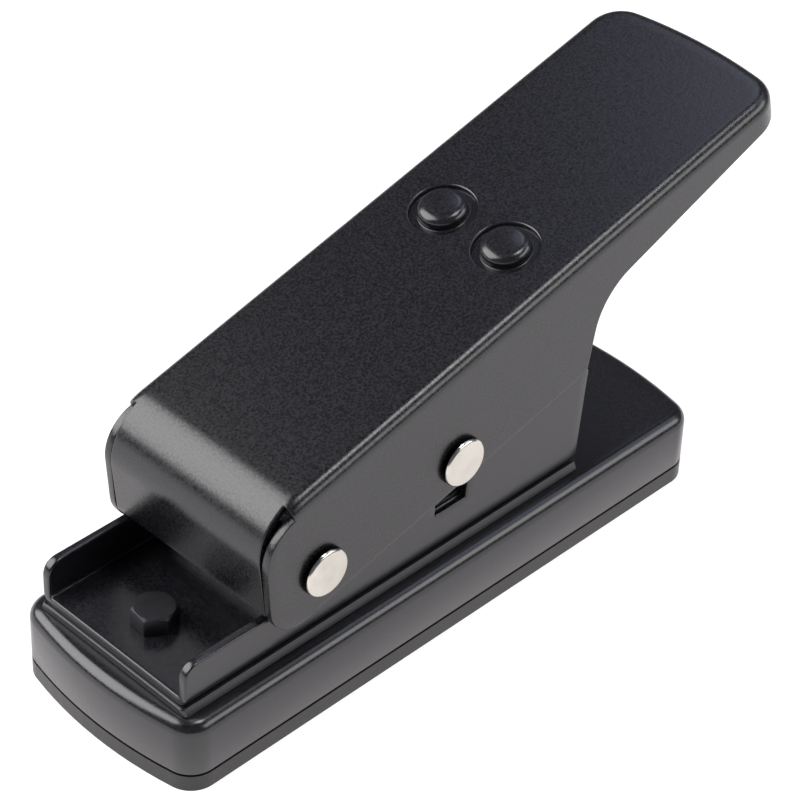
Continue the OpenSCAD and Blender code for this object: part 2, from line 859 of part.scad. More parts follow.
// Wire centre line: a straight foot, coils that lean with the lever as they rise, a straight top
spring_leg = wire_d;
spring_rise = spring_top_z - spring_low_z - 2 * spring_leg - spring_end_gap;
spring_rings = coil_turns * rings_per_turn;
function coil_point(i) =
    let (t = i / spring_rings, a = 360 * i / rings_per_turn, r = coil_d / 2)
    [
        r * cos(a),
        r * sin(a),
        spring_leg + t * (spring_rise + tan(lever_tilt) * r * cos(a))
    ];
spring_path = concat(
    [coil_point(0) - [0, 0, spring_leg]],
    [for (i = [0:spring_rings]) coil_point(i)],
    [coil_point(spring_rings) + [0, 0, spring_leg]]
);
spring_count = len(spring_path);
function path_heading(i) =
    unit(spring_path[min(i + 1, spring_count - 1)] - spring_path[max(i - 1, 0)]);
function wire_ring(i) =
    let (
        p = spring_path[i],
        out = unit([p[0], p[1], 0]),
        side = unit(cross(path_heading(i), out))
    )
    [for (k = [0:wire_sides - 1])
        p + wire_d / 2 * (cos(360 * k / wire_sides) * out + sin(360 * k / wire_sides) * side)];
spring_points = [for (i = [0:spring_count - 1]) each wire_ring(i)];
function ring_id(i, k) = i * wire_sides + k % wire_sides;
spring_faces = concat(
    [for (k = [1:wire_sides - 2]) [0, k, k + 1]],
    [for (i = [0:spring_count - 2], k = [0:wire_sides - 1])
        each [
            [ring_id(i, k), ring_id(i + 1, k), ring_id(i, k + 1)],
            [ring_id(i, k + 1), ring_id(i + 1, k), ring_id(i + 1, k + 1)]
        ]],
    [for (k = [1:wire_sides - 2])
        [ring_id(spring_count - 1, 0), ring_id(spring_count - 1, k + 1), ring_id(spring_count - 1, k)]]
);

// Least gap between wires of neighbouring turns, measured on the centre line
turn_gap = min([
    for (i = [0:spring_count - 1], j = [i + rings_per_turn - 2:spring_count - 1])
        if (j < spring_count)
            norm(spring_path[i] - spring_path[j]) - wire_d
]);
echo(turn_gap = turn_gap);

// One return spring between the stripper plate and the lever
module return_spring(s) {
    translate([spring_x, s * spring_y, spring_low_z])
        polyhedron(spring_points, spring_faces);
}

// Return spring on the side at -Y
module return_spring_left() {
    color("lightgray")
        return_spring(-1);
}

// Return spring on the side at +Y
module return_spring_right() {
    color("lightgray")
        return_spring(1);
}

// Rivet on which the lever turns, fixed in the cheeks
module pivot_rivet() {
    color("whitesmoke")
        translate([pivot_x, 0, pivot_z])
            rivet(pivot_d, lever_w + 2 * washer_off);
}

// Sleeve that keeps the cheeks apart at the pivot
module pivot_sleeve() {
    color("silver")
        translate([pivot_x, 0, pivot_z])
            difference() {
                cross_bar(sleeve_d, channel_w);
                cross_bar(pivot_d + 2 * seat_fit, channel_w + 2 * past);
            }
}

// Thin washers between the cheeks and the skirts at the pivot
module pivot_washers() {
    color("silver")
        translate([pivot_x, 0, pivot_z])
            cheek_washers(pivot_d + 2 * seat_fit, washer_t);
}

// Embossed button on the lever's top, over one spring
module button() {
    round_r = 0.5;
    foot_h = 0.2;
    rotate_extrude()
        polygon([
            [0, -lever_t],
            [button_d / 2, -lever_t],
            [button_d / 2, 0],
            [button_d / 2 - round_r, foot_h],
            [button_top_d / 2 + round_r, button_h - round_r],
            [button_top_d / 2, button_h],
            [0, button_h]
        ]);
}

// Formed lever: top plate, rolled nose, skirts and turned-down end
module lever() {
    skirt_y = lever_in - seam_gap;
    color("#2c2c31")
        on_lever()
            difference() {
                union() {
                    difference() {
                        intersection() {
                            across(lever_w + 2 * past)
                                lever_side();
                            translate([0, 0, -lever_rear])
                                linear_extrude(2 * lever_rear)
                                    lever_plan();
                            along_x(-2 * nose_r, lever_rear + past)
                                lever_section();
                        }
                        intersection() {
                            across(2 * lever_in)
                                lever_hollow_side();
                            translate([0, 0, -lever_rear])
                                linear_extrude(2 * lever_rear)
                                    lever_plan(-lever_t);
                        }
                    }
                    for (s = [-1, 1])
                        translate([button_u, s * spring_y, lever_top])
                            button();
                }
                for (s = [-1, 1])
                    translate([button_u, s * spring_y, lever_top - lever_t - past])
                        cylinder(d = pocket_d, h = pocket_h + past);
                for (s = [-1, 1])
                    translate([-2 * nose_r, s * (skirt_y + seam_gap / 2) - seam_gap / 2, -skirt_drop])
                        cube([2 * nose_r - lever_edge_r, seam_gap, skirt_drop + lever_top + past]);
                cross_bar(pivot_d + 2 * run_fit, lever_w + 2 * past);
                translate([pin_reach, 0, -pin_drop])
                    cross_bar(pin_d + 2 * seat_fit, lever_w + 2 * past);
            }
}

// Rivet through the skirts that drives the punch
module drive_pin() {
    color("whitesmoke")
        on_lever()
            translate([pin_reach, 0, -pin_drop])
                rivet(pin_d, lever_w);
}

// Thin washers between the cheeks and the skirts on the drive pin
module drive_washers() {
    color("silver")
        on_lever()
            translate([pin_reach, 0, -pin_drop])
                cheek_washers(pin_d + 2 * seat_fit, washer_t);
}

// Pick-shaped punch with a cross slot for the drive pin
module punch() {
    h = pin_d + 2 * run_fit;
    color("#b8b8bc")
        difference() {
            pick_block(punch_z, punch_h);
            for (x = [pin_near_x - run_fit, pin_far_x + run_fit])
                translate([x, 0, pin_rest_z])
                    cross_bar(h, 2 * pick_w);
            translate([pin_near_x - run_fit, -pick_w, pin_rest_z - h / 2])
                cube([pin_sweep + 2 * run_fit, 2 * pick_w, h]);
            for (s = [-1, 1])
                translate([pick_x + s * punch_screw_dx, 0, punch_top_z - punch_hole_h])
                    cylinder(d = screw_d + 2 * seat_fit, h = punch_hole_h + past);
        }
}

// Plate on top of the punch that slides on the guide posts
module punch_head() {
    color("#78787e")
        difference() {
            plate(punch_head_x, head_l, die_w, punch_top_z, head_t);
            for (s = [-1, 1])
                translate([post_x, s * post_y, punch_top_z - past])
                    cylinder(d = post_d + 2 * run_fit, h = head_t + 2 * past);
            for (s = [-1, 1])
                translate([pick_x + s * punch_screw_dx, 0, punch_top_z + head_t])
                    flat_screw_hole(head_t + past);
        }
}

// Two screws that hold the punch to its head
module punch_screws() {
    color("#505054")
        for (s = [-1, 1])
            translate([pick_x + s * punch_screw_dx, 0, punch_top_z + head_t])
                flat_screw(punch_screw_l);
}

base_shell();
bottom_cover();
cover_screws();
bed_plate();
frame();
frame_bolt();
frame_bolt_washer();
frame_bolt_nut();
die_plate();
strip_guide();
stripper_plate();
guide_posts();
die_screws();
die_nuts();
spring_pegs();
return_spring_left();
return_spring_right();
pivot_rivet();
pivot_sleeve();
pivot_washers();
lever();
drive_pin();
drive_washers();
punch();
punch_head();
punch_screws();
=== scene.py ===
"""Looks of a hand punch that cuts guitar picks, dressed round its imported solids.

Lengths in the classes are millimetres and angles are degrees; meshes leave this file in metres, in the frame of
the solids: +X from the feed tray to the handle, +Z up, the table at z = 0.
"""
from __future__ import annotations

import json
import logging
import math
from dataclasses import dataclass
from enum import Enum
from typing import Any

import bmesh
import bpy
import numpy as np
from mathutils import Matrix, Vector


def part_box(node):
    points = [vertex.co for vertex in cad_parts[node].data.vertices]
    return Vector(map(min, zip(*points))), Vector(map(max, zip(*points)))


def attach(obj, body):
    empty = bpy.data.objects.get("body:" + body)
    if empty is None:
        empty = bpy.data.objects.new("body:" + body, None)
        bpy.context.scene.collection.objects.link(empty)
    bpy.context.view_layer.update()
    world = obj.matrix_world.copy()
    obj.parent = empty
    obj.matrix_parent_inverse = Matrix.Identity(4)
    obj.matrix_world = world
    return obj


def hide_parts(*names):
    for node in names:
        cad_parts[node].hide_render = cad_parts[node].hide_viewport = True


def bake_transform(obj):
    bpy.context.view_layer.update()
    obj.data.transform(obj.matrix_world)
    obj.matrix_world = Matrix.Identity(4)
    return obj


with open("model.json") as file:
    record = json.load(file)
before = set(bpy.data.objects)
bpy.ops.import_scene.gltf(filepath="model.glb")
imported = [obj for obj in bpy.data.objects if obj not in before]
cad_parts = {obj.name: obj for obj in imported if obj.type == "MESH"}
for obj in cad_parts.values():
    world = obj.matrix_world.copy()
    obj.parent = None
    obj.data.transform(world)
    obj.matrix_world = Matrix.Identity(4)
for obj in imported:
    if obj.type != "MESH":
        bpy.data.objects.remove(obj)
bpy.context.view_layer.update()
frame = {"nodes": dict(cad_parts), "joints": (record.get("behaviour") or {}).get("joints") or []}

Array = np.ndarray
Pair = tuple[float, float]
MM = 0.001
# Points nearer than this, in millimetres, become one
WELD = 0.004
# Slack in tests of where a point is, in millimetres
SLACK = 0.01
LOG = logging.getLogger("pick_punch")


class Body(Enum):
    """The rigid bodies that new pieces ride on."""

    ROOT = "root"
    LEVER = "lever"


# Numbers to shapes


def points(*axes: Any) -> Array:
    """Puts coordinates together as points, each spread to the shape that all of them share."""
    return np.stack(np.broadcast_arrays(*axes), axis=-1)


def lifted(plan: Array, z: Any) -> Array:
    """Gives plan points a height each."""
    return points(plan[..., 0], plan[..., 1], z)


def joined(*parts: Any) -> Array:
    """Puts runs of points one behind the other in one array."""
    return np.concatenate([np.atleast_2d(np.asarray(p, float)) for p in parts])


def arc(centre: Pair, radius: float, start: float, end: float, steps: int) -> Array:
    """Points on a circle: centre + radius * (cos a, sin a) for a from start to end.

    Args:
        centre: Centre of the circle.
        radius: Its radius.
        start: First angle in degrees.
        end: Last angle in degrees.
        steps: Number of equal steps.

    Returns:
        An array of steps + 1 points.
    """
    a = np.radians(np.linspace(start, end, steps + 1))
    return points(centre[0] + radius * np.cos(a), centre[1] + radius * np.sin(a))


def arcs(runs: list[tuple[Pair, float, float, float, int]]) -> tuple[Array, Array]:
    """A chain of arcs.

    Args:
        runs: What arc takes, for each of them.

    Returns:
        The points, and the direction that each faces, in radians.
    """
    face = np.concatenate([np.linspace(start, end, steps + 1) for _, _, start, end, steps in runs])
    return joined(*[arc(*run) for run in runs]), np.radians(face)


def quarter(start: Pair, end: Pair, level: bool = False, steps: int = 9) -> Array:
    """Quarter of an ellipse: start + (end - start) * (1 - cos q, sin q), or (sin q, 1 - cos q) if it starts level.

    Args:
        start: First point.
        end: Last point.
        level: Whether it leaves the first point level, not upright.
        steps: Number of steps of q from 0 to 90 degrees.

    Returns:
        An array of steps + 1 points.
    """
    q = np.radians(np.linspace(0.0, 90.0, steps + 1))
    share = points(np.sin(q), 1 - np.cos(q)) if level else points(1 - np.cos(q), np.sin(q))
    return np.array(start) + (np.array(end) - start) * share


def run_of(path: Array) -> Array:
    """Length along a broken line at each of its points."""
    return np.concatenate([[0.0], np.cumsum(np.linalg.norm(np.diff(path, axis=0), axis=1))])


def along(path: Array, count: int) -> Array:
    """Spaces points evenly by length along a broken line.

    Args:
        path: Points of the line.
        count: Number of points wanted.

    Returns:
        The evenly spaced points, ends included.
    """
    run = run_of(path)
    at = np.linspace(0.0, run[-1], count)
    return points(*(np.interp(at, run, line) for line in path.T))


def smooth_step(x: Array) -> Array:
    """Eases from 0 to 1: 3 x^2 - 2 x^3 on x held between 0 and 1."""
    x = np.clip(x, 0.0, 1.0)
    return x * x * (3.0 - 2.0 * x)


def between(value: Array, span: Pair) -> Array:
    """Whether each value lies inside a span."""
    return (value > span[0]) & (value < span[1])


def rounded_box(length: float, width: float, radius: float, steps: int = 8) -> Array:
    """Rectangle about the origin with quarter-circle corners.

    Args:
        length: Size along x.
        width: Size along y.
        radius: Radius of the corners.
        steps: Number of steps in each corner.

    Returns:
        Its points, anticlockwise.
    """
    x, y = length / 2 - radius, width / 2 - radius
    corners = ((x, -y), (x, y), (-x, y), (-x, -y))
    return joined(*[arc(at, radius, 90 * k - 90, 90 * k, steps) for k, at in enumerate(corners)])


def turned(profile: Array, steps: int) -> Array:
    """Turns a profile about an axis: (r cos a, r sin a, h) for its points (r, h) and angles a.

    Args:
        profile: Points of radius and height.
        steps: Number of angles round the axis.

    Returns:
        The grid, one row for each point of the profile.
    """
    a = np.linspace(0.0, 2 * np.pi, steps, endpoint=False)
    r, h = profile[:, :1], profile[:, 1:]
    return points(r * np.cos(a), r * np.sin(a), h)


class Skin:
    """Grids of points collected into one mesh."""

    def __init__(self) -> None:
        """Starts with no points."""
        self.points: list[Array] = []
        self.faces: list[list[int]] = []
        self.count = 0

    def grid(self, p: Array, flip: bool = False, wrap: bool = False, wrap_rows: bool = False,
             keep: Array | None = None) -> None:
        """Adds a surface: a grid of points with a four-sided face in each cell.

        Args:
            p: Points in millimetres, rows by columns by three.
            flip: Turns the faces over.
            wrap: Joins the last column to the first.
            wrap_rows: Joins the last row to the first.
            keep: For each cell, whether it has a face.
        """
        rows, cols = p.shape[:2]
        index = np.arange(rows * cols).reshape(rows, cols) + self.count
        index = np.hstack([index, index[:, :1]]) if wrap else index
        index = np.vstack([index, index[:1]]) if wrap_rows else index
        cells = np.stack([index[:-1, :-1], index[1:, :-1], index[1:, 1:], index[:-1, 1:]], axis=-1)
        cells = cells.reshape(-1, 4) if keep is None else cells[keep]
        self.faces += (cells[:, ::-1] if flip else cells).tolist()
        self.points.append(p.reshape(-1, 3))
        self.count += rows * cols

    def object(self, name: str) -> bpy.types.Object:
        """Makes the mesh object, with points that meet joined.

        Args:
            name: Name of the piece.

        Returns:
            The new object, in metres, linked to the scene.
        """
        mesh = bpy.data.meshes.new(name)
        mesh.from_pydata((np.concatenate(self.points) * MM).tolist(), [], self.faces)
        work = bmesh.new()
        work.from_mesh(mesh)
        bmesh.ops.remove_doubles(work, verts=work.verts, dist=WELD * MM)
        bmesh.ops.dissolve_degenerate(work, edges=work.edges, dist=WELD * MM / 4)
        work.to_mesh(mesh)
        work.free()
        piece = bpy.data.objects.new(name, mesh)
        bpy.context.scene.collection.objects.link(piece)
        return piece


def shade(piece: bpy.types.Object, crisp: float = 38.0) -> bpy.types.Object:
    """Bakes the modifiers of a piece and shades it smooth, with sharp edges kept crisp.

    Args:
        piece: The object.
        crisp: Least angle of a crisp edge, in degrees.

    Returns:
        The same object.
    """
    graph = bpy.context.evaluated_depsgraph_get()
    mesh = bpy.data.meshes.new_from_object(piece.evaluated_get(graph))
    piece.modifiers.clear()
    piece.data = mesh
    mesh.polygons.foreach_set("use_smooth", np.ones(len(mesh.polygons), bool))
    mesh.set_sharp_from_angle(angle=math.radians(crisp))
    return piece


def grid_piece(name: str, p: Array, crisp: float, **joins: bool) -> bpy.types.Object:
    """Makes a shaded piece of one grid.

    Args:
        name: Name of the piece.
        p: Its points in millimetres.
        crisp: Least angle of a crisp edge, in degrees.
        joins: How the grid is joined and turned, as Skin.grid takes it.

    Returns:
        The new piece.
    """
    skin = Skin()
    skin.grid(p, **joins)
    return shade(skin.object(name), crisp)


def sheet_metal(piece: bpy.types.Object, thickness: float, edge: float, least: float = 50.0) -> bpy.types.Object:
    """Gives a skin its sheet thickness, inwards, and softens its cut edges.

    Args:
        piece: Open skin with outward normals.
        thickness: Sheet thickness in millimetres.
        edge: Radius of the softened edges in millimetres.
        least: Least angle of an edge that is softened, in degrees.

    Returns:
        The same object, finished.
    """
    wall = piece.modifiers.new("sheet", "SOLIDIFY")
    wall.thickness = thickness * MM
    wall.offset = -1.0
    wall.use_even_offset = False
    soft = piece.modifiers.new("edges", "BEVEL")
    soft.width = edge * MM
    soft.segments = 3
    soft.limit_method = "ANGLE"
    soft.angle_limit = math.radians(least)
    soft.use_clamp_overlap = False
    level = piece.modifiers.new("flats", "WEIGHTED_NORMAL")
    level.keep_sharp = True
    return shade(piece)


# Finishes


def linear(code: str) -> tuple[float, float, float, float]:
    """Turns a colour from sRGB to linear light.

    Args:
        code: The colour as a hash sign and six hex digits.

    Returns:
        Red, green, blue and a full alpha.
    """
    c = np.array([int(code[i:i + 2], 16) for i in (1, 3, 5)]) / 255.0
    c = np.where(c <= 0.04045, c / 12.92, ((c + 0.055) / 1.055) ** 2.4)
    return (*c.tolist(), 1.0)


def add(tree: bpy.types.NodeTree, kind: str, inputs: dict[Any, Any] | None = None, **settings: Any) -> bpy.types.Node:
    """Adds one node.

    Args:
        tree: Node tree of the material or world.
        kind: Blender's name of the node's type.
        inputs: Socket name or number to a value, or to the output socket that is linked to it.
        settings: Properties of the node.

    Returns:
        The new node.
    """
    node = tree.nodes.new(kind)
    for key, value in settings.items():
        setattr(node, key, value)
    for key, value in (inputs or {}).items():
        if isinstance(value, bpy.types.NodeSocket):
            tree.links.new(value, node.inputs[key])
        else:
            node.inputs[key].default_value = value
    return node


def per_metre(size_mm: float) -> float:
    """Scale of a noise pattern whose grains are about size_mm across."""
    return 1.0 / (size_mm * MM)


def blank(name: str) -> tuple[bpy.types.Material, bpy.types.NodeTree]:
    """Makes a material with no nodes.

    Args:
        name: Name of the real material and finish.

    Returns:
        The material and its node tree.
    """
    material = bpy.data.materials.new(name)
    material.use_nodes = True
    material.node_tree.nodes.clear()
    return material, material.node_tree


class Lay(Enum):
    """Direction of the fine marks that a tool leaves on metal, as stretch factors of the pattern along X, Y and Z."""

    ALONG = (0.04, 1.0, 1.0)
    UP = (1.0, 1.0, 0.04)
    NONE = (1.0, 1.0, 1.0)


class Tint(Enum):
    """Which of a finish's two patterns its colour follows."""

    FINE = "fine"
    BROAD = "broad"


@dataclass(frozen=True)
class Finish:
    """A surface with a fine pattern in its gloss and relief, and a broad one in its colour or its flow.

    ramp and spread are the parts of the patterns over which the colour goes from dark to light and the roughness
    from its least to its greatest; lift and broad_lift are strengths of relief on the depths fine_m and broad_m.
    """

    name: str
    dark: str
    light: str
    rough: Pair
    fine_mm: float
    broad_mm: float
    detail: Pair
    ramp: Pair
    spread: Pair = (0.3, 0.7)
    lay: Lay = Lay.NONE
    tint: Tint = Tint.BROAD
    lift: float = 0.1
    broad_lift: float = 0.0
    fine_m: float = 0.0001
    broad_m: float = 0.0002
    metallic: float = 0.0
    specular: float = 0.5

    def material(self) -> bpy.types.Material:
        """Makes the node material: two noises on Object coordinates, led to colour, roughness and bump.

        Returns:
            The new material.
        """
        material, tree = blank(self.name)
        where = add(tree, "ShaderNodeTexCoord").outputs["Object"]
        laid = add(tree, "ShaderNodeMapping", {"Vector": where, "Scale": self.lay.value}).outputs["Vector"]
        fine, broad = (
            add(tree, "ShaderNodeTexNoise", {"Vector": at, "Scale": per_metre(size), "Detail": detail}).outputs["Fac"]
            for at, size, detail in zip((laid, where), (self.fine_mm, self.broad_mm), self.detail)
        )
        colour = add(tree, "ShaderNodeValToRGB", {"Fac": fine if self.tint is Tint.FINE else broad})
        for element, code, at in zip(colour.color_ramp.elements, (self.dark, self.light), self.ramp):
            element.color, element.position = linear(code), at
        rough = add(tree, "ShaderNodeMapRange", {
            "Value": fine, "From Min": self.spread[0], "From Max": self.spread[1],
            "To Min": self.rough[0], "To Max": self.rough[1],
        })
        relief = {"Height": fine, "Strength": self.lift, "Distance": self.fine_m}
        if self.broad_lift:
            flow = {"Height": broad, "Strength": self.broad_lift, "Distance": self.broad_m}
            relief["Normal"] = add(tree, "ShaderNodeBump", flow).outputs["Normal"]
        bump = add(tree, "ShaderNodeBump", relief)
        skin = add(tree, "ShaderNodeBsdfPrincipled", {
            "Base Color": colour.outputs["Color"], "Roughness": rough.outputs["Result"], "Metallic": self.metallic,
            "Normal": bump.outputs["Normal"], "Specular IOR Level": self.specular,
        })
        add(tree, "ShaderNodeOutputMaterial", {"Surface": skin.outputs["BSDF"]})
        return material


@dataclass(frozen=True)
class SatinPaint(Finish):
    """Black stoving paint on pressed steel: a satin skin with slight orange peel and a fine dry grain."""

    dark: str = "#131316"
    light: str = "#232328"
    rough: Pair = (0.2, 0.3)
    # Real grain is near 0.1 mm; it is drawn coarser so that it shows at this distance
    fine_mm: float = 0.45
    broad_mm: float = 1.1
    detail: Pair = (2.0, 1.0)
    ramp: Pair = (0.35, 0.65)
    tint: Tint = Tint.FINE
    lift: float = 0.12
    broad_lift: float = 0.05
    specular: float = 0.7


@dataclass(frozen=True)
class MouldedPlastic(Finish):
    """Black ABS moulding with a fine spark-eroded texture: dull and slightly uneven."""

    dark: str = "#18181a"
    light: str = "#242426"
    rough: Pair = (0.26, 0.46)
    fine_mm: float = 0.35
    broad_mm: float = 9.0
    detail: Pair = (2.0, 2.0)
    ramp: Pair = (0.0, 1.0)
    spread: Pair = (0.0, 1.0)
    lift: float = 0.3
    specular: float = 0.62


@dataclass(frozen=True)
class BareMetal(Finish):
    """Uncoated or plated steel: a metal sheen broken by fine tool marks and faint stains."""

    # Grinding marks are near 0.05 mm; they are drawn coarser so that they show
    fine_mm: float = 0.4
    broad_mm: float = 6.0
    detail: Pair = (3.0, 3.0)
    ramp: Pair = (0.25, 0.6)
    lift: float = 0.08
    metallic: float = 1.0


# Near black, with a dry grain that breaks up every reflection
GRAINED_PAINT = SatinPaint("grained_black_stoving_paint", "#0d0d10", "#1d1d22", (0.22, 0.33))
# The same black laid on smoother, with soft reflections that run on along the bends
PAINT = SatinPaint("smooth_black_stoving_paint", rough=(0.2, 0.26), lift=0.03, broad_lift=0.03)
# A flatter black than the paint, with a faint cloudiness
PLASTIC = MouldedPlastic("moulded_black_abs")
# Warm white mirror that goes slightly milky
NICKEL = BareMetal("bright_nickel_plate", "#c4c1b6", "#d9d6cd", (0.15, 0.26), fine_mm=0.5, lift=0.06)
# Cool, pale and a little hazy
ZINC = BareMetal("bright_zinc_plate", "#a9adb5", "#c9ccd2", (0.21, 0.364))
# Grey with fine lines along the punch that drag the light out across them
TOOL_STEEL = BareMetal("ground_tool_steel", "#96979b", "#b4b5b8", (0.225, 0.39), lay=Lay.ALONG)
# The same, ground finer and upright
PUNCH_STEEL = BareMetal("ground_punch_steel", "#9a9b9f", "#b9babd", (0.195, 0.338), lay=Lay.UP)
# Grey wire with thin bright lines along its coils
SPRING_WIRE = BareMetal("drawn_spring_wire", "#888a90", "#b0b2b6", (0.225, 0.39), fine_mm=0.3)
# Charcoal with a weak oily sheen
BLACK_OXIDE = BareMetal("black_oxide_steel", "#323235", "#48484b", (0.27, 0.468), fine_mm=0.3, lift=0.12)
# Charcoal gone dull, so that only its edges catch light
BOLT_OXIDE = BareMetal("dull_black_oxide_bolt", "#343438", "#444448", (0.375, 0.65), fine_mm=0.3, lift=0.12)
# Nearly black painted shade on the rivets' rims, standing for the black skirt that the rims mirror; it sets the
# bright faces off from the paint
RIM_PAINTED_SHADE = BareMetal("rivet_rim_painted_shade", "#0c0c0c", "#141414", (0.375, 0.65), fine_mm=0.3)


class Dresser:
    """Makes each finish once and puts it on pieces and nodes."""

    def __init__(self) -> None:
        """Starts with no materials made."""
        self.made: dict[str, bpy.types.Material] = {}

    def material(self, finish: Finish) -> bpy.types.Material:
        """Makes the material of a finish when it is first asked for.

        Args:
            finish: One of the finishes above.

        Returns:
            The material.
        """
        if finish.name not in self.made:
            self.made[finish.name] = finish.material()
        return self.made[finish.name]

    def dress(self, piece: bpy.types.Object, finish: Finish) -> None:
        """Puts a finish on an object in place of what it had.

        Args:
            piece: A piece or a node.
            finish: One of the finishes above.
        """
        piece.data.materials.clear()
        piece.data.materials.append(self.material(finish))

    def second(self, piece: bpy.types.Object, finish: Finish, chosen: Array) -> None:
        """Puts a second finish on some faces of a dressed piece.

        Args:
            piece: The piece.
            finish: The second finish.
            chosen: For each face, whether it gets it.
        """
        piece.data.materials.append(self.material(finish))
        piece.data.polygons.foreach_set("material_index", chosen.astype(np.int32))


DRESSER = Dresser()


def place(piece: bpy.types.Object, body: Body, slot: str, finish: Finish, *nodes: str) -> None:
    """Dresses a new piece, hides the nodes it stands for and lets it ride on its body.

    Args:
        piece: The finished piece.
        body: The body it moves with.
        slot: The record's material slot; not used.
        finish: Its finish.
        nodes: The nodes that it stands for.
    """
    DRESSER.dress(piece, finish)
    if nodes:
        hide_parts(*nodes)
    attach(piece, body.value)
    LOG.info("%s: %d faces, rides on %s", piece.name, len(piece.data.polygons), body.value)


def base_middle() -> float:
    """X of the middle of the base, in millimetres."""
    low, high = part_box("base_shell")
    return (low.x + high.x) / 2 / MM


# Sub-assemblies


@dataclass
class Lever:
    """The formed sheet lever, drawn in its own axes from the pivot: u back along it, y across, w square to it."""

    tilt: float = 14.1
    half: float = 19.3
    top: float = 17.2
    sheet: float = 1.5
    cut_edge: float = 0.15
    edge_r: float = 2.2
    drop: float = 7.5
    chin_u: float = -5.2
    chin_r: float = 6.3
    nose_r: float = 10.3
    nose_low: float = -1.6
    nose_flare: float = 0.5
    seam_u: float = -2.6
    shoulder_r: float = 7.5
    heel_r: float = 1.6
    neck_u: float = 66.4
    neck_w: float = 5.9
    neck_lean: float = 66.0
    neck_r: float = 12.0
    neck_end: float = 80.0
    taper: float = 7.3
    rear: float = 114.2
    past_rear: float = 2.0
    bow: float = 1.9
    corner_r: float = 6.5
    cap_run: float = 3.0
    cap_rows: int = 6
    button_u: float = 57.63
    button_y: float = 7.2
    button_hole: float = 6.0
    # Where the top is gridded finely for the holes under the buttons, along the lever and on each side of its middle
    fine_u: Pair = (51.0, 64.2)
    fine_y: Pair = (0.6, 13.8)
    counts_u: tuple[int, ...] = (6, 27, 38, 24, 14)
    counts_y: tuple[int, int] = (37, 9)
    skirt_rows: int = 30
    bend_rows: int = 7
    pivot_x: float = 0.0
    pivot_z: float = 0.0

    @property
    def flat_half(self) -> float:
        """Half width of the flat top, between the bends."""
        return self.half - self.edge_r

    @property
    def nose_w(self) -> float:
        """Height of the nose roll's centre."""
        return self.top - self.nose_r

    @property
    def chin_w(self) -> float:
        """Height of the chin circle's centre."""
        return self.chin_r - self.drop

    @property
    def bow_r(self) -> float:
        """Radius of the bowed rear end, from its width and how far it stands out."""
        return (self.half**2 + self.bow**2) / (2 * self.bow)

    @property
    def cap_u(self) -> float:
        """Where the straight sides end and the corners of the rear end begin."""
        r, big = self.corner_r, self.bow_r
        return self.rear - big + math.sqrt((big - r) ** 2 - (self.half - r) ** 2)

    def front_angle(self, centre: Pair, radius: float) -> float:
        """Direction in which the straight front faces between an upper circle and the chin circle.

        It is square to the line that touches both circles: the direction from the upper centre to the chin's, less
        the angle whose cosine is the difference of the radii over the distance of the centres.

        Args:
            centre: Centre of the upper circle.
            radius: Its radius.

        Returns:
            The direction in degrees.
        """
        run = np.array([self.chin_u - centre[0], self.chin_w - centre[1]])
        share = (radius - self.chin_r) / float(np.linalg.norm(run))
        return math.degrees(math.atan2(run[1], run[0]) - math.acos(share)) + 360.0

    def low(self, u: Array) -> Array:
        """Lower edge of the skirts, from under the chin to the rear: chin, heel, neck curve and handle line.

        Args:
            u: Places along the lever.

        Returns:
            Heights of the edge.
        """
        lean, taper = math.radians(self.neck_lean), math.radians(self.taper)
        into = np.array([math.cos(taper) - math.cos(lean), math.sin(taper) - math.sin(lean)])
        into /= np.linalg.norm(into)
        centre = np.array([self.neck_u, self.neck_w]) + into * self.neck_r / math.cos((lean - taper) / 2)
        heel = self.neck_u - (self.neck_w + self.drop) / math.tan(lean) - self.heel_r * math.tan(lean / 2)
        back = self.rear + self.past_rear
        edge = joined(
            (self.chin_u, -self.drop),
            arc((heel, self.heel_r - self.drop), self.heel_r, 270, 270 + self.neck_lean, 8),
            arc(tuple(centre), self.neck_r, self.neck_lean + 90, self.taper + 90, 20),
            (back, self.neck_w + (back - self.neck_u) * math.tan(taper)),
        )
        return np.interp(u, edge[:, 0], edge[:, 1])

    def surface(self, u: Array) -> Array:
        """Height of the top face at each u: flat, then down the nose roll's circle ahead of the pivot."""
        ahead = np.minimum(u, 0.0)
        return self.nose_w + np.sqrt(self.nose_r**2 - ahead**2)

    def across(self) -> Array:
        """Columns of the flat top, close together under the buttons.

        Returns:
            Places across the lever.
        """
        fine, wide = self.counts_y
        outer = np.linspace(self.fine_y[1], self.flat_half, wide)[1:]
        side = np.concatenate([np.linspace(*self.fine_y, fine), outer])
        return np.concatenate([-side[::-1], [0.0], side])

    def stations(self) -> Array:
        """Rows of the lever, close together under the buttons and in the neck.

        Returns:
            Places along the lever.
        """
        stops = (self.seam_u, 0.0, *self.fine_u, self.neck_end, self.cap_u - self.cap_run)
        runs = zip(stops[:-1], stops[1:], self.counts_u)
        return np.unique(np.concatenate([np.linspace(*run) for run in runs]))

    def side(self, u: Array) -> tuple[Array, Array]:
        """One skirt and its bend: straight up from the lower edge, then a quarter circle in to the flat top.

        Args:
            u: Places along the lever.

        Returns:
            Distances from the middle, and heights with one row for each place.
        """
        low, top = self.low(u)[:, None], self.surface(u)[:, None]
        share = np.linspace(0.0, 1.0, self.skirt_rows)
        turn = np.radians(np.linspace(0.0, 90.0, self.bend_rows + 1))[1:]
        y = np.concatenate([np.full(self.skirt_rows, self.half), self.flat_half + self.edge_r * np.cos(turn)])
        w = np.hstack([low + (top - self.edge_r - low) * share, top - self.edge_r + self.edge_r * np.sin(turn)])
        return y, w

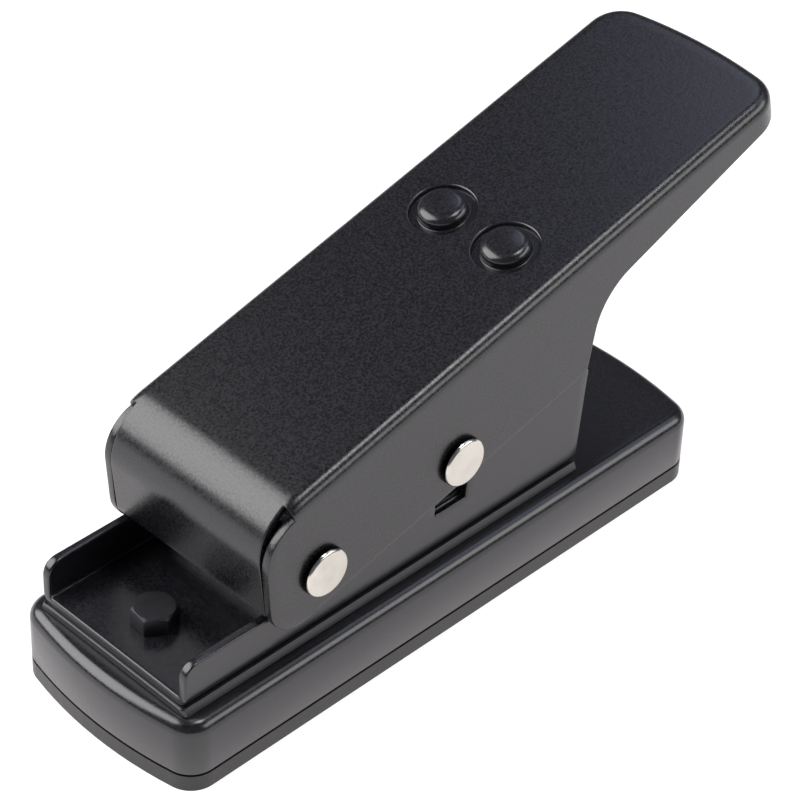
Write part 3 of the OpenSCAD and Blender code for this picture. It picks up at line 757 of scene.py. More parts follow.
    def body(self, skin: Skin) -> None:
        """Skirts, bends and top plate: one cross section carried along the lever, with holes for the buttons.

        Args:
            skin: Collects the surface.
        """
        u, top_y = self.stations(), self.across()
        side_y, side_w = self.side(u)
        top_w = np.broadcast_to(self.surface(u)[:, None], (len(u), len(top_y)))
        y = np.concatenate([-side_y[:-1], top_y, side_y[-2::-1]])
        w = np.hstack([side_w[:, :-1], top_w, side_w[:, -2::-1]])
        cell_u, cell_y = (u[:-1] + u[1:])[:, None] / 2, (y[:-1] + y[1:]) / 2
        on_top = (w[:-1, :-1] + w[:-1, 1:]) / 2 > self.top - SLACK
        far = np.hypot(cell_u - self.button_u, np.abs(cell_y) - self.button_y)
        skin.grid(points(u[:, None], y, w), keep=(far > self.button_hole) | ~on_top)
        u = np.linspace(self.cap_u - self.cap_run, self.cap_u, self.cap_rows)
        y, w = self.side(u)
        for sign in (-1, 1):
            skin.grid(points(u[:, None], sign * y, w), flip=sign > 0)

    def rear_end(self, skin: Skin) -> None:
        """Turned-down rear end: top, bend and lip carried round the end's plan outline.

        Args:
            skin: Collects the surface.
        """
        y = self.across()
        start, r, big, inset = self.cap_u, self.corner_r, self.bow_r, self.edge_r
        side = math.degrees(math.asin((self.half - r) / (big - r)))
        plan, face = arcs([
            ((start, r - self.half), r - inset, -90, -side, 24),
            ((self.rear - big, 0.0), big - inset, -side, side, 60),
            ((start, self.half - r), r - inset, side, 90, 24),
        ])
        # A hair is added at each point, so that lengths still rise where two arcs share one
        run = run_of(plan) + np.arange(len(plan)) * 1e-9
        at = (y + self.flat_half) / (2 * self.flat_half) * run[-1]
        rim = points(*(np.interp(at, run, line) for line in plan.T))
        facing = np.interp(at, run, face)
        out = points(np.cos(facing), np.sin(facing))
        spine = points(start - self.cap_run, y)
        flat = spine + (rim - spine) * np.linspace(0.0, 1.0, self.cap_rows)[:, None, None]
        turn = np.radians(np.linspace(90.0, 0.0, self.bend_rows + 1))[1:, None]
        bend = rim + out * (inset * np.cos(turn))[..., None]
        wall = rim + out * inset
        low = self.low(wall[:, 0])
        fall = np.linspace(1.0, 0.0, self.skirt_rows)[1:, None]
        skin.grid(np.concatenate([
            lifted(flat, self.top),
            lifted(bend, self.top - inset + inset * np.sin(turn)),
            lifted(wall, low + (self.top - inset - low) * fall),
        ]))

    def nose(self, skin: Skin) -> None:
        """Rolled nose: the plate carried down the nose circle, then straight to its lower edge, widening a little.

        Args:
            skin: Collects the surface.
        """
        first = math.degrees(math.acos(self.seam_u / self.nose_r))
        last = self.front_angle((0.0, self.nose_w), self.nose_r)
        roll = arc((0.0, self.nose_w), self.nose_r, last, first, 26)
        lean = math.radians(last)
        reach = roll[0] @ [math.cos(lean), math.sin(lean)]
        foot = ((reach - self.nose_low * math.sin(lean)) / math.cos(lean), self.nose_low)
        path = joined(along(joined(foot, roll[0]), 9)[:-1], roll)
        u, w = path[:, :1], path[:, 1:]
        spread = 1.0 + self.nose_flare / self.flat_half * smooth_step((self.top - w) / self.nose_r)
        skin.grid(points(u, spread * self.across(), w))

    def skirt_front(self, skin: Skin, side: int) -> None:
        """Front of one skirt: straight rows from the seam's column to points spaced along the skirt's front outline.

        Args:
            skin: Collects the surface.
            side: -1 or 1, the side of the lever.
        """
        seam_top = float(self.surface(np.array(self.seam_u))) - self.edge_r
        shoulder = (self.seam_u, seam_top - self.shoulder_r)
        front = self.front_angle(shoulder, self.shoulder_r)
        edge = along(joined(
            (self.seam_u, -self.drop),
            arc((self.chin_u, self.chin_w), self.chin_r, 270, front, 40),
            arc(shoulder, self.shoulder_r, front, 90, 40),
        ), self.skirt_rows)
        column = points(self.seam_u, np.linspace(-self.drop, seam_top, self.skirt_rows))
        rows = edge + (column - edge) * np.linspace(0.0, 1.0, 5)[:, None, None]
        skin.grid(points(rows[..., 0], side * self.half, rows[..., 1]), flip=side > 0)

    def to_world(self, piece: bpy.types.Object) -> None:
        """Turns a piece from the lever's own axes to its place at rest.

        Args:
            piece: Mesh drawn from the pivot.
        """
        turn = Matrix.Rotation(math.radians(-self.tilt), 4, "Y")
        piece.data.transform(Matrix.Translation((self.pivot_x * MM, 0.0, self.pivot_z * MM)) @ turn)

    def build(self) -> None:
        """Makes the lever and puts it in the place of its node."""
        skin = Skin()
        self.body(skin)
        self.rear_end(skin)
        self.nose(skin)
        self.skirt_front(skin, -1)
        self.skirt_front(skin, 1)
        piece = skin.object("lever_sheet")
        sheet_metal(piece, self.sheet, self.cut_edge)
        self.to_world(piece)
        place(piece, Body.LEVER, "black_paint", GRAINED_PAINT, "lever")


@dataclass
class Buttons:
    """The two pressed buttons of the lever: each a round boss in a moat, turned from one closed profile.

    Radii end in r, and heights over the lever's plate in w.
    """

    crest_r: float = 2.6
    crest_w: float = 1.55
    crown: float = 0.12
    edge_h: float = 1.3
    wall_r: float = 4.5
    foot: float = 0.2
    moat_r: float = 5.55
    moat_w: float = -0.7
    lip_r: float = 6.0
    lip_w: float = 0.04
    rim_r: float = 6.5
    rim_w: float = 0.02
    under_w: float = -0.3
    neck_r: float = 5.8
    neck_w: float = -0.4
    sheet: float = 0.45
    steps: int = 96

    def profile(self) -> Array:
        """Half outline from the middle of the top, out over the edge, the moat and the lip, and back underneath.

        The top is a shallow parabola, and each bend is a quarter of an ellipse.

        Returns:
            Points of radius and height over the plate.
        """
        spread = np.linspace(0.0, self.crest_r, 8)
        wall, low = self.wall_r - self.foot, self.moat_w - self.sheet
        return joined(
            points(spread, self.crest_w + self.crown * (1 - (spread / self.crest_r) ** 2)),
            quarter((self.crest_r, self.crest_w), (wall, self.crest_w - self.edge_h), level=True)[1:],
            quarter((wall, self.moat_w + self.foot), (self.wall_r, self.moat_w)),
            quarter((self.moat_r, self.moat_w), (self.lip_r, self.lip_w)),
            (self.rim_r, self.rim_w), (self.rim_r, self.under_w), (self.neck_r, self.neck_w),
            (self.moat_r, low), (0.0, low),
        )

    def build(self, lever: Lever) -> None:
        """Turns the profile about the middle of each button, square to the plate.

        Args:
            lever: Gives the places of the buttons and carries them.
        """
        grid = turned(self.profile(), self.steps)
        for name, side in (("lever_button_left", 1), ("lever_button_right", -1)):
            at = [lever.button_u, side * lever.button_y, lever.top]
            piece = grid_piece(name, grid + at, crisp=60, wrap=True)
            lever.to_world(piece)
            place(piece, Body.LEVER, "black_paint", PAINT)


@dataclass
class Rivets:
    """The two bright rivets across the punch: the pivot and the drive pin."""

    head_d: float = 8.8
    head_h: float = 1.6
    rim_h: float = 1.3
    edge: float = 0.7
    edge_start: float = 84.0
    dark_slope: float = 75.0
    shank_d: float = 6.0
    play: float = 0.05
    steps: int = 72

    def profile(self, grip: float) -> Array:
        """Half outline of one rivet: domed head, rounded rim, shank, and the same head again.

        Args:
            grip: Distance between the heads' undersides.

        Returns:
            Points of radius and place along the rivet.
        """
        r, e = self.head_d / 2, self.edge
        cap = self.head_h - self.rim_h
        dome = (r * r + cap * cap) / (2 * cap)
        spread = np.linspace(0.0, r - e, 14)
        face = points(spread, self.head_h - dome + np.sqrt(dome**2 - spread**2))
        shoulder = arc((r - e, face[-1, 1] - e), e, self.edge_start, 0, 12)
        half = joined(face, shoulder, (r, 0.0), (self.shank_d / 2, 0.0)) + [0.0, grip / 2]
        return joined(half, half[::-1] * [1.0, -1.0])

    def rivet(self, name: str, x: float, z: float, grip: float) -> bpy.types.Object:
        """Turns the profile about the rivet's own axis, which lies along Y.

        Args:
            name: Name of the piece.
            x: Place of the axis along the punch.
            z: Height of the axis.
            grip: Distance between the heads' undersides.

        Returns:
            The shaded piece.
        """
        grid = turned(self.profile(grip), self.steps)[..., [0, 2, 1]]
        return grid_piece(name, grid + [x, 0.0, z], crisp=30, wrap=True, flip=True)

    def darken(self, piece: bpy.types.Object) -> None:
        """Paints shade on the rims: faces that look away from the rivet's axis by more than the dark slope get a
        nearly black finish, standing for the black skirt that they mirror.

        Args:
            piece: A dressed rivet.
        """
        mesh = piece.data
        facing = np.empty(3 * len(mesh.polygons))
        mesh.polygons.foreach_get("normal", facing)
        rim = np.abs(facing.reshape(-1, 3)[:, 1]) < math.cos(math.radians(self.dark_slope))
        # Painted shade: the rim faces get a dark finish in place of the dark skirt that they reflect
        DRESSER.second(piece, RIM_PAINTED_SHADE, rim)

    def build(self, lever: Lever) -> None:
        """Makes both rivets in the place of their nodes.

        Args:
            lever: Gives the pivot and the width between the heads.
        """
        pivot = self.rivet("pivot_rivet_bright", lever.pivot_x, lever.pivot_z, 2 * (lever.half + self.play))
        place(pivot, Body.ROOT, "bright_nickel", NICKEL, "pivot_rivet")
        self.darken(pivot)
        low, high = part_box("drive_pin")
        x, z = (low.x + high.x) / 2 / MM, (low.z + high.z) / 2 / MM
        pin = self.rivet("drive_pin_bright", x, z, 2 * lever.half)
        place(pin, Body.LEVER, "bright_nickel", NICKEL, "drive_pin")
        self.darken(pin)


@dataclass
class Base:
    """The base's painted pieces: pressed shell with bowed ends, and bed plate."""

    length: float = 123.0
    width: float = 41.6
    height: float = 13.9
    bow: float = 2.7
    corner_r: float = 5.0
    edge_r: float = 2.3
    foot_r: float = 0.25
    wall: float = 1.5
    shell_z: float = 3.4
    # Rows of the deck, as shares of the way in from its rim to the window
    deck_rows: tuple[float, ...] = (0.06, 0.35, 1.0)
    bed_t: float = 1.4
    bed_l: float = 90.0
    bed_w: float = 35.4
    bed_edge: float = 0.2
    bed_slope: float = 0.55
    bed_corner: float = 0.8
    bed_cells: int = 19
    window_l: float = 33.0
    window_w: float = 28.0
    window_r: float = 4.0
    window_steps: int = 720

    def outline(self) -> tuple[Array, Array]:
        """Plan of the shell: straight sides, bowed ends and round corners, anticlockwise.

        Returns:
            The loop about the base's middle, and its outward normals.
        """
        r, end = self.corner_r, self.length / 2
        big = (self.width**2 / 4 + self.bow**2) / (2 * self.bow)
        y = self.width / 2 - r
        side = math.degrees(math.asin(y / (big - r)))
        x = end - big + (big - r) * math.cos(math.radians(side))
        loop, face = arcs([
            ((x, -y), r, -90, -side, 16), ((end - big, 0.0), big, -side, side, 36), ((x, y), r, side, 90, 16),
            ((-x, y), r, 90, 180 - side, 16), ((big - end, 0.0), big, 180 - side, 180 + side, 36),
            ((-x, -y), r, 180 + side, 270, 16),
        ])
        return loop, points(np.cos(face), np.sin(face))

    def window(self, loop: Array, middle: Array) -> Array:
        """Points of the rounded window seen from its middle in the same directions as a loop's points.

        Args:
            loop: Outer loop.
            middle: Middle of the window.

        Returns:
            One window point for each loop point.
        """
        edge = rounded_box(self.window_l, self.window_w, self.window_r)
        edge = along(joined(edge, edge[:1]), self.window_steps)[:-1]
        angle = np.arctan2(edge[:, 1], edge[:, 0])
        order = np.argsort(angle)
        want = np.arctan2(loop[:, 1] - middle[1], loop[:, 0] - middle[0])
        return middle + points(*(np.interp(want, angle[order], line[order], period=2 * np.pi) for line in edge.T))

    def closed(self, name: str, rows: list[tuple[Array, float]]) -> bpy.types.Object:
        """Makes a ring-shaped piece of plan loops at heights, the last joined to the first.

        Args:
            name: Name of the piece.
            rows: Loops about the base's middle with their heights, in order round the piece's section.

        Returns:
            The shaded piece.
        """
        grid = np.stack([lifted(loop + [base_middle(), 0.0], z) for loop, z in rows])
        return grid_piece(name, grid, crisp=42, wrap=True, wrap_rows=True, flip=True)

    def shell(self, middle: Array) -> bpy.types.Object:
        """Shell: its wall profile carried round the plan, in over the deck to the window, and back underneath.

        Args:
            middle: Middle of the drop window, from the base's middle.

        Returns:
            The shaded piece.
        """
        loop, out = self.outline()
        r, foot, top = self.edge_r, self.foot_r, self.height
        low_turn, high_turn = np.radians([0.0, 45.0, 90.0]), np.radians(np.linspace(0.0, 90.0, 11))
        rows = [(loop - out * (foot * (1 - math.sin(a))), self.shell_z + foot * (1 - math.cos(a))) for a in low_turn]
        rows += [(loop - out * r * (1 - math.cos(a)), top - r + r * math.sin(a)) for a in high_turn]
        deck, hole, inner = loop - out * r, self.window(loop, middle), loop - out * self.wall
        rows += [(deck + (hole - deck) * share, top) for share in self.deck_rows]
        rows += [(hole, top - self.wall), (inner, top - self.wall), (inner, self.shell_z)]
        return self.closed("base_shell_pressed", rows)

    def bed_ring(self, front: float, inset: float = 0.0, slope: float = 0.0) -> Array:
        """One loop round the bed plate: a rounded rectangle drawn in all round, and by the slope on its long sides.

        Args:
            front: Place of the plate's front edge, from the base's middle.
            inset: How far the loop is drawn in all round.
            slope: How far more it is drawn in on the long sides.

        Returns:
            The loop's points.
        """
        loop = rounded_box(self.bed_l - 2 * inset, self.bed_w - 2 * (inset + slope), self.bed_corner - inset, 5)
        sides = np.linspace(loop, np.roll(loop, -1, axis=0), self.bed_cells + 1, axis=1)[:, :-1]
        return sides.reshape(-1, 2) + [front + self.bed_l / 2, 0.0]

    def bed(self, front: float, middle: Array) -> bpy.types.Object:
        """Bed plate: an edge profile carried round a rectangle, and in over both faces to the window.

        Args:
            front: Place of the plate's front edge, from the base's middle.
            middle: Middle of the drop window, from the base's middle.

        Returns:
            The shaded piece.
        """
        e, low, high = self.bed_edge, self.height, self.height + self.bed_t
        hole = self.window(self.bed_ring(front), middle)
        turn = np.radians([0, 30, 60, 90])
        slope = self.bed_slope
        rows = [(hole, low)]
        rows += [(self.bed_ring(front, e * (1 - math.sin(a))), low + e - e * math.cos(a)) for a in turn]
        rows += [(self.bed_ring(front, e * (1 - math.cos(a)), slope), high - e + e * math.sin(a)) for a in turn]
        return self.closed("bed_plate_painted", rows + [(hole, high)])

    def build(self) -> None:
        """Makes the shell and the bed plate in the place of their nodes."""
        mid = base_middle()
        low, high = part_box("punch")
        middle = np.array([(low.x + high.x) / 2 / MM - mid, 0.0])
        place(self.shell(middle), Body.ROOT, "black_paint", PAINT, "base_shell")
        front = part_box("bed_plate")[0].x / MM - mid
        place(self.bed(front, middle), Body.ROOT, "black_paint", PAINT, "bed_plate")


@dataclass
class Frame:
    """The channel frame: feed tray in front, cheeks behind, drawn from the base's middle."""

    front: float = -57.1
    length: float = 89.0
    half: float = 17.2
    sheet: float = 1.6
    cut_edge: float = 0.3
    bend_r: float = 2.0
    floor_z: float = 15.3
    flange_h: float = 8.4
    flange_r: float = 2.8
    cheek_h: float = 26.0
    rear_h: float = 19.2
    cut: float = 10.0
    rake: float = 1.6
    eye_r: float = 9.0
    # Run over which the grid steps up from the flange to the eye
    step_run: float = 0.06
    pivot_x: float = -30.0
    pivot_z: float = 29.5
    slot_x: Pair = (-2.846, 4.393)
    slot_z: Pair = (23.1, 38.1)
    # Least cheek over the slot where the grid follows its ends, and shares of the cheek where it doesn't
    slot_roof: float = 0.5
    slot_shares: Pair = (0.35, 0.55)
    window_x: Pair = (-15.727, 17.273)
    window_half: float = 14.0

    @property
    def rear(self) -> float:
        """Place of the rear end."""
        return self.front + self.length

    @property
    def inset(self) -> float:
        """Half width of the flat floor, between the bends."""
        return self.half - self.bend_r

    def top_edge(self, x: Array) -> Array:
        """Upper edge of the cheeks at each x: flange, round eye, rising line, cut corner.

        Args:
            x: Places along the frame.

        Returns:
            Heights of the upper edge.
        """
        flange = self.floor_z + self.flange_h
        over = np.clip(self.pivot_x - x, 0.0, self.eye_r)
        eye = self.pivot_z + np.sqrt(np.maximum(self.eye_r**2 - over**2, 0.0))
        line = np.interp(x, [self.pivot_x, self.rear - self.cut, self.rear],
                         [self.pivot_z + self.eye_r, self.floor_z + self.cheek_h, self.floor_z + self.rear_h])
        cheek = np.where(x < self.pivot_x, eye, line)
        return np.where(x < self.pivot_x - self.eye_r + SLACK, flange, cheek)

    def stations(self) -> Array:
        """Rows of the frame, close in the round corners, and on the edges of the slot and the window.

        Returns:
            Places along the frame.
        """
        jump, corner = self.pivot_x - self.eye_r, self.front + self.flange_r
        eye = self.pivot_x - self.eye_r * np.cos(np.radians(np.linspace(0, 90, 15)))
        stops = (self.pivot_x, self.window_x[0], *self.slot_x, self.window_x[1], self.rear - self.cut, self.rear)
        runs = zip(stops[:-1], stops[1:], (8, 8, 6, 8, 5, 6))
        return np.unique(np.concatenate([
            np.linspace(self.front, corner, 5), np.linspace(corner, jump, 8), [jump + self.step_run], eye[1:],
            *(np.linspace(*run) for run in runs),
        ]))

    def round_off(self, x: Array, z: Array) -> tuple[Array, Array]:
        """Rounds the flange's front corner.

        In the corner's square a point (a, b) from the arc's centre, in radii, goes to
        (a sqrt(1 - b^2 / 2), b sqrt(1 - a^2 / 2)), which takes the square's outer sides to the arc.

        Args:
            x: Places along the frame.
            z: Heights, of the same shape.

        Returns:
            The places and heights with the corner rounded.
        """
        r = self.flange_r
        mid_x, mid_z = self.front + r, self.floor_z + self.flange_h - r
        a, b = (mid_x - x) / r, (z - mid_z) / r
        inside = (a > 0.0) & (b > 0.0)
        a, b = np.clip(a, 0.0, 1.0), np.clip(b, 0.0, 1.0)
        return (np.where(inside, mid_x - r * a * np.sqrt(1 - b * b / 2), x),
                np.where(inside, mid_z + r * b * np.sqrt(1 - a * a / 2), z))

    def section(self, x: Array) -> tuple[Array, Array]:
        """Cheek, bend, floor, bend and cheek, each cheek in three spans that meet at the slot's ends.

        Args:
            x: Places along the frame.

        Returns:
            Distances from the middle, and heights with one row for each place.
        """
        top = self.top_edge(x)[:, None]
        start = self.floor_z + self.bend_r
        full = (top > self.slot_z[1] + self.slot_roof) & (x[:, None] < self.window_x[1])
        cuts = [np.where(full, z, start + (top - start) * s) for z, s in zip(self.slot_z, self.slot_shares)]
        stops = (start, *cuts, top)
        spans = zip(stops[:-1], stops[1:], (np.linspace(0, 1, 5), np.linspace(0, 1, 7)[1:], np.linspace(0, 1, 5)[1:]))
        cheek = np.hstack([a + (b - a) * share for a, b, share in spans])
        turn = np.radians(np.linspace(0, -90, 7))[1:]
        bend_y, bend_z = self.inset + self.bend_r * np.cos(turn), start + self.bend_r * np.sin(turn)
        edge, hole = np.linspace(self.inset, self.window_half, 3)[1:], self.window_half
        floor = np.concatenate([edge, np.linspace(hole, -hole, 13)[1:], -edge[-2::-1]])
        wall = np.full(cheek.shape[1], self.half)
        y = np.concatenate([wall, bend_y, floor, -bend_y[::-1], -wall])
        middle = np.concatenate([bend_z, np.full(len(floor), self.floor_z), bend_z[::-1]])
        return y, np.hstack([cheek[:, ::-1], np.broadcast_to(middle, (len(x), len(middle))), cheek])

    def open_cells(self, x: Array, y: Array, z: Array) -> Array:
        """Cells of the grid that the cheeks' slots and the floor's window take out.

        Args:
            x: Places along the frame.
            y: Distances from the middle.
            z: Heights, rows by columns.

        Returns:
            For each cell, whether it is open.
        """
        mid_x, mid_y = (x[:-1] + x[1:])[:, None] / 2, np.abs(y[:-1] + y[1:]) / 2
        mid_z = (z[:-1, :-1] + z[:-1, 1:] + z[1:, :-1] + z[1:, 1:]) / 4
        in_slot = (mid_y > self.half - SLACK) & between(mid_x, self.slot_x) & between(mid_z, self.slot_z)
        return in_slot | (mid_y < self.window_half) & between(mid_x, self.window_x)

    def build(self) -> None:
        """Carries the section along the frame, with the cheeks raked at the rear, less the slots and the window."""
        x = self.stations()
        y, z = self.section(x)
        share = np.clip((x - self.pivot_x) / (self.rear - self.pivot_x), 0.0, 1.0)[:, None]
        lean = self.rake * share * np.clip((z - self.floor_z) / self.rear_h, 0.0, None) * (np.abs(y) > self.inset)
        place_x, z = self.round_off(x[:, None] + lean, z)
        skin = Skin()
        skin.grid(points(place_x + base_middle(), y, z), keep=~self.open_cells(x, y, z))
        piece = skin.object("frame_channel")
        sheet_metal(piece, self.sheet, self.cut_edge)
        place(piece, Body.ROOT, "black_paint", PAINT, "frame")


@dataclass
class FrameBolt:
    """Hexagon bolt in the tray, its head chamfered by a cone."""

    across_flats: float = 7.0
    head_h: float = 3.4
    shank_d: float = 4.0
    # Size of the softened edges, and shares of it at the middle of an edge and where the upper one ends
    edge: float = 0.18
    edge_mid: float = 0.3
    edge_end: float = 0.2
    cone_share: float = 0.97
    cone_slope: float = 30.0
    face_rise: float = 0.03
    face_run: float = 0.3
    turned: float = 22.6
    steps: int = 120

    def build(self) -> None:
        """Carries the head's profile round a hexagon; the chamfer's cone meets the flats in shallow arcs.

        The hexagon's radius is half the flats over the cosine of the angle from the nearest flat's middle.
        """
        low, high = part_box("frame_bolt")
        x, base = (low.x + high.x) / 2 / MM, high.z / MM - self.head_h
        a = np.linspace(0.0, 2 * np.pi, self.steps, endpoint=False)
        flat, shank, tail = self.across_flats / 2, self.shank_d / 2, low.z / MM - base
        hexagon = flat / np.cos(((a - math.radians(self.turned)) % (np.pi / 3)) - np.pi / 6)
        cone = flat * self.cone_share
        rim = self.head_h - np.maximum(hexagon - cone, 0.0) * math.tan(math.radians(self.cone_slope))
        e, mid, face = self.edge, self.edge * self.edge_mid, self.head_h + self.face_rise
        rows = [
            (0.0, tail), (shank, tail), (shank, 0.0),
            (hexagon - e, 0.0), (hexagon - mid, mid), (hexagon, e),
            (hexagon, rim - e), (hexagon - mid, rim - mid), (hexagon - e, rim + e * self.edge_end),
            (cone, self.head_h), (cone - self.face_run, face), (cone / 2, face), (0.0, face),
        ]
        grid = np.stack([points(x + r * np.cos(a), r * np.sin(a), base + z) for r, z in rows])
        piece = grid_piece("frame_bolt_hexagon", grid, crisp=25, wrap=True, flip=True)
        place(piece, Body.ROOT, "black_oxide", BOLT_OXIDE, "frame_bolt")


@dataclass
class ReturnSprings:
    """The two coil springs between the stripper plate and the lever's buttons."""

    wire_d: float = 1.0
    coil_d: float = 6.6
    turns: int = 10
    tilt: float = 14.1
    per_turn: int = 36
    sides: int = 10

    def spring(self, name: str, node: str) -> bpy.types.Object:
        """Wire: a circle carried along a helix whose coils lean more with height, its ends straight.

        Args:
            name: Name of the piece.
            node: The node that it stands for.

        Returns:
            The shaded piece.
        """
        low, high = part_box(node)
        foot = [(low.x + high.x) / 2 / MM, (low.y + high.y) / 2 / MM, low.z / MM]
        r, leg = self.coil_d / 2, self.wire_d
        t = np.linspace(0.0, 1.0, self.turns * self.per_turn + 1)
        a = 2 * np.pi * self.turns * t
        lean = math.tan(math.radians(self.tilt)) * r
        rise = (high.z - low.z) / MM - 2 * leg - lean
        coil = points(r * np.cos(a), r * np.sin(a), leg + t * (rise + lean * np.cos(a)))
        path = joined(coil[0] - [0, 0, leg], coil, coil[-1] + [0, 0, leg])
        ahead = np.gradient(path, axis=0)
        ahead /= np.linalg.norm(ahead, axis=1, keepdims=True)
        out = path * [1, 1, 0]
        out /= np.linalg.norm(out, axis=1, keepdims=True)
        side = np.cross(ahead, out)
        side /= np.linalg.norm(side, axis=1, keepdims=True)
        b = np.linspace(0.0, 2 * np.pi, self.sides, endpoint=False)[None, :, None]
        tube = path[:, None] + self.wire_d / 2 * (np.cos(b) * out[:, None] + np.sin(b) * side[:, None])
        ends = np.broadcast_to(path[[0, -1]][:, None], (2, self.sides, 3))
        grid = np.concatenate([ends[:1], tube, ends[1:]]) + foot
        return grid_piece(name, grid, crisp=50, wrap=True, flip=True)

    def build(self) -> None:
        """Makes both springs in the place of their nodes."""
        for name, node in (("return_coil_left", "return_spring_left"), ("return_coil_right", "return_spring_right")):
            piece = self.spring(name, node)
            DRESSER.dress(piece, SPRING_WIRE)
            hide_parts(node)
            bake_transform(piece)
            LOG.info("%s: %d faces, between root and lever", name, len(piece.data.polygons))


class KeptNodes:
    """Nodes whose solids show as they are, with a finish each."""

    finishes: dict[str, Finish] = {
        "bottom_cover": PLASTIC, "cover_screws": BLACK_OXIDE, "frame_bolt_washer": ZINC, "frame_bolt_nut": ZINC,
        "die_plate": TOOL_STEEL, "strip_guide": TOOL_STEEL, "stripper_plate": TOOL_STEEL, "guide_posts": PUNCH_STEEL,
        "die_screws": BLACK_OXIDE, "die_nuts": ZINC, "spring_pegs": ZINC, "pivot_sleeve": ZINC, "pivot_washers": ZINC,
        "drive_washers": ZINC, "punch": PUNCH_STEEL, "punch_head": TOOL_STEEL, "punch_screws": BLACK_OXIDE,
    }

    def build(self) -> None:
        """Dresses each kept node."""
        for node, finish in self.finishes.items():
            DRESSER.dress(frame["nodes"][node], finish)
            LOG.info("%s: kept solid, %s", node, finish.name)


# Stage


@dataclass(frozen=True)
class Softbox:
    """A flat studio light that faces the punch; its size and distance are in metres."""

    name: str
    toward: tuple[float, float, float]
    distance: float
    size: Pair
    radiance: float
    colour: str = "#ffffff"

    def build(self, target: Vector) -> None:
        """Hangs the light at its distance in its direction, with the power that gives its radiance.

        Args:
            target: Point that it faces, in metres.
        """
        data = bpy.data.lights.new(self.name, "AREA")
        data.shape = "RECTANGLE"
        data.size, data.size_y = self.size
        data.color = linear(self.colour)[:3]
        data.energy = self.radiance * math.pi * self.size[0] * self.size[1]
        lamp = bpy.data.objects.new(self.name, data)
        away = Vector(self.toward).normalized()
        lamp.location = target + away * self.distance
        lamp.rotation_euler = away.to_track_quat("Z", "Y").to_euler()
        bpy.context.scene.collection.objects.link(lamp)


LIGHTS = (
    # Shows in the nose roll and the front edge of the base
    Softbox("far_left_softbox", (-0.496, 0.603, 0.626), 0.9, (0.8, 0.8), 4.9),
    # Shows as the line of light along the near bends
    Softbox("overhead_softbox", (0.17, -0.20, 0.96), 1.0, (0.3, 0.3), 8.0),
    Softbox("near_right_softbox", (0.50, -0.70, 0.50), 1.0, (0.9, 0.4), 3.3),
    # Cool sky on the rear of the lever's top
    Softbox("right_softbox", (0.62, -0.20, 0.76), 1.0, (0.4, 0.4), 1.2, "#dfe4ff"),
    Softbox("rear_softbox", (0.47, 0.36, 0.80), 1.0, (0.3, 0.3), 1.6, "#dfe4ff"),
)


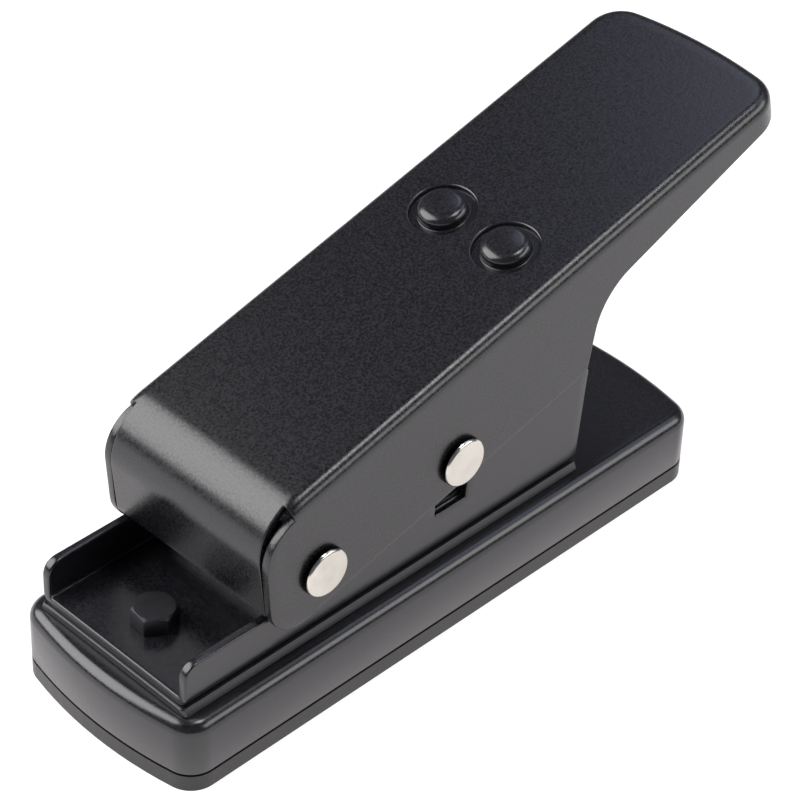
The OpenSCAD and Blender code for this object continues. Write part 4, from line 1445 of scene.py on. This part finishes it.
@dataclass
class Studio:
    """Floor, light and camera."""

    azimuth: float = -46.136
    elevation: float = 38.736
    roll: float = 2.360
    distance: float = 518.382
    target: tuple[float, float, float] = (8.906, 2.868, 29.458)
    lens: float = 138.980
    sensor: float = 36.0
    floor_half: float = 3000.0
    floor_gap: float = 0.02
    floor_grey: str = "#b4b4b4"
    floor_seen: str = "#ffffff"
    floor_mirrored: str = "#fff9fb"
    floor_lift: float = 0.78
    gloss_lift: float = 0.8
    # Heights on the world's ramp with the grey of the room there, and how much bluer than grey it is
    room: tuple[Pair, ...] = ((0.0, 0.14), (0.64, 0.13), (0.76, 0.07))
    room_blue: float = 0.01
    lit_z: float = 30.0

    def camera(self) -> None:
        """Puts the camera at the photograph's angle and distance."""
        az, el, roll = (math.radians(v) for v in (self.azimuth, self.elevation, self.roll))
        look = np.array([-math.sin(az) * math.cos(el), math.cos(az) * math.cos(el), -math.sin(el)])
        right = np.cross(look, [0.0, 0.0, 1.0])
        right /= np.linalg.norm(right)
        up = np.cross(right, look)
        right, up = math.cos(roll) * right + math.sin(roll) * up, -math.sin(roll) * right + math.cos(roll) * up
        target = np.array(self.target) + [base_middle(), 0.0, 0.0]
        pose = np.eye(4)
        pose[:3, :3] = np.column_stack([right, up, -look])
        pose[:3, 3] = (target - look * self.distance) * MM
        data = bpy.data.cameras.new("photo_camera")
        data.sensor_width = self.sensor
        data.lens = self.lens
        data.clip_start = 0.01
        camera = bpy.data.objects.new("photo_camera", data)
        camera.matrix_world = Matrix(pose.tolist())
        bpy.context.scene.collection.objects.link(camera)
        bpy.context.scene.camera = camera

    def floor(self) -> None:
        """Pale matt table that keeps shadows; rays from the camera and from gloss see it lifted to white."""
        skin = Skin()
        edge = np.array([-self.floor_half, self.floor_half])
        skin.grid(points(edge[:, None], edge, -self.floor_gap))
        table = skin.object("studio_floor")
        material, tree = blank("pale_matt_floor")
        rays = add(tree, "ShaderNodeLightPath").outputs
        gloss = rays["Is Glossy Ray"]
        seen = add(tree, "ShaderNodeMath", {0: rays["Is Camera Ray"], 1: rays["Is Transmission Ray"]},
                   operation="MAXIMUM")
        shine = add(tree, "ShaderNodeMath", {0: gloss, 1: self.gloss_lift}, operation="MULTIPLY")
        lift = add(tree, "ShaderNodeMath", {0: seen.outputs[0], 1: self.floor_lift, 2: shine.outputs[0]},
                   operation="MULTIPLY_ADD")
        tint = add(tree, "ShaderNodeMix", {"Factor": gloss, "A": linear(self.floor_seen),
                                           "B": linear(self.floor_mirrored)}, data_type="RGBA")
        matt = add(tree, "ShaderNodeBsdfDiffuse", {"Color": linear(self.floor_grey)})
        glow = add(tree, "ShaderNodeEmission", {"Color": tint.outputs["Result"], "Strength": lift.outputs[0]})
        both = add(tree, "ShaderNodeAddShader", {0: matt.outputs[0], 1: glow.outputs[0]})
        add(tree, "ShaderNodeOutputMaterial", {"Surface": both.outputs[0]})
        table.data.materials.append(material)

    def world(self) -> None:
        """Soft room: walls of nearly even grey, dim overhead."""
        world = bpy.data.worlds.new("studio_room")
        world.use_nodes = True
        tree = world.node_tree
        tree.nodes.clear()
        way = add(tree, "ShaderNodeTexCoord")
        parts = add(tree, "ShaderNodeSeparateXYZ", {0: way.outputs["Generated"]})
        ramp = add(tree, "ShaderNodeValToRGB", {"Fac": parts.outputs["Z"]})
        ramp.color_ramp.elements.new(0.5)
        for element, (height, grey) in zip(ramp.color_ramp.elements, self.room):
            element.position = height
            element.color = (grey, grey, grey + self.room_blue, 1.0)
        back = add(tree, "ShaderNodeBackground", {"Color": ramp.outputs["Color"], "Strength": 1.0})
        add(tree, "ShaderNodeOutputWorld", {"Surface": back.outputs[0]})
        bpy.context.scene.world = world

    def build(self) -> None:
        """Sets up the whole stage."""
        self.camera()
        self.floor()
        self.world()
        for box in LIGHTS:
            box.build(Vector((base_middle() * MM, 0.0, self.lit_z * MM)))
        bpy.context.scene.view_settings.view_transform = "Standard"


def main() -> None:
    """Builds every sub-assembly in order, then the stage."""
    logging.basicConfig(level=logging.INFO, format="%(name)s %(message)s")
    hinge = next(j for j in frame["joints"] if j["name"] == "lever_hinge")
    lever = Lever(pivot_x=hinge["pos_m"][0] / MM, pivot_z=hinge["pos_m"][2] / MM)
    lever.build()
    Buttons().build(lever)
    Rivets().build(lever)
    Base().build()
    Frame().build()
    FrameBolt().build()
    ReturnSprings().build()
    KeptNodes().build()
    Studio().build()


if __name__ == "__main__":
    main()
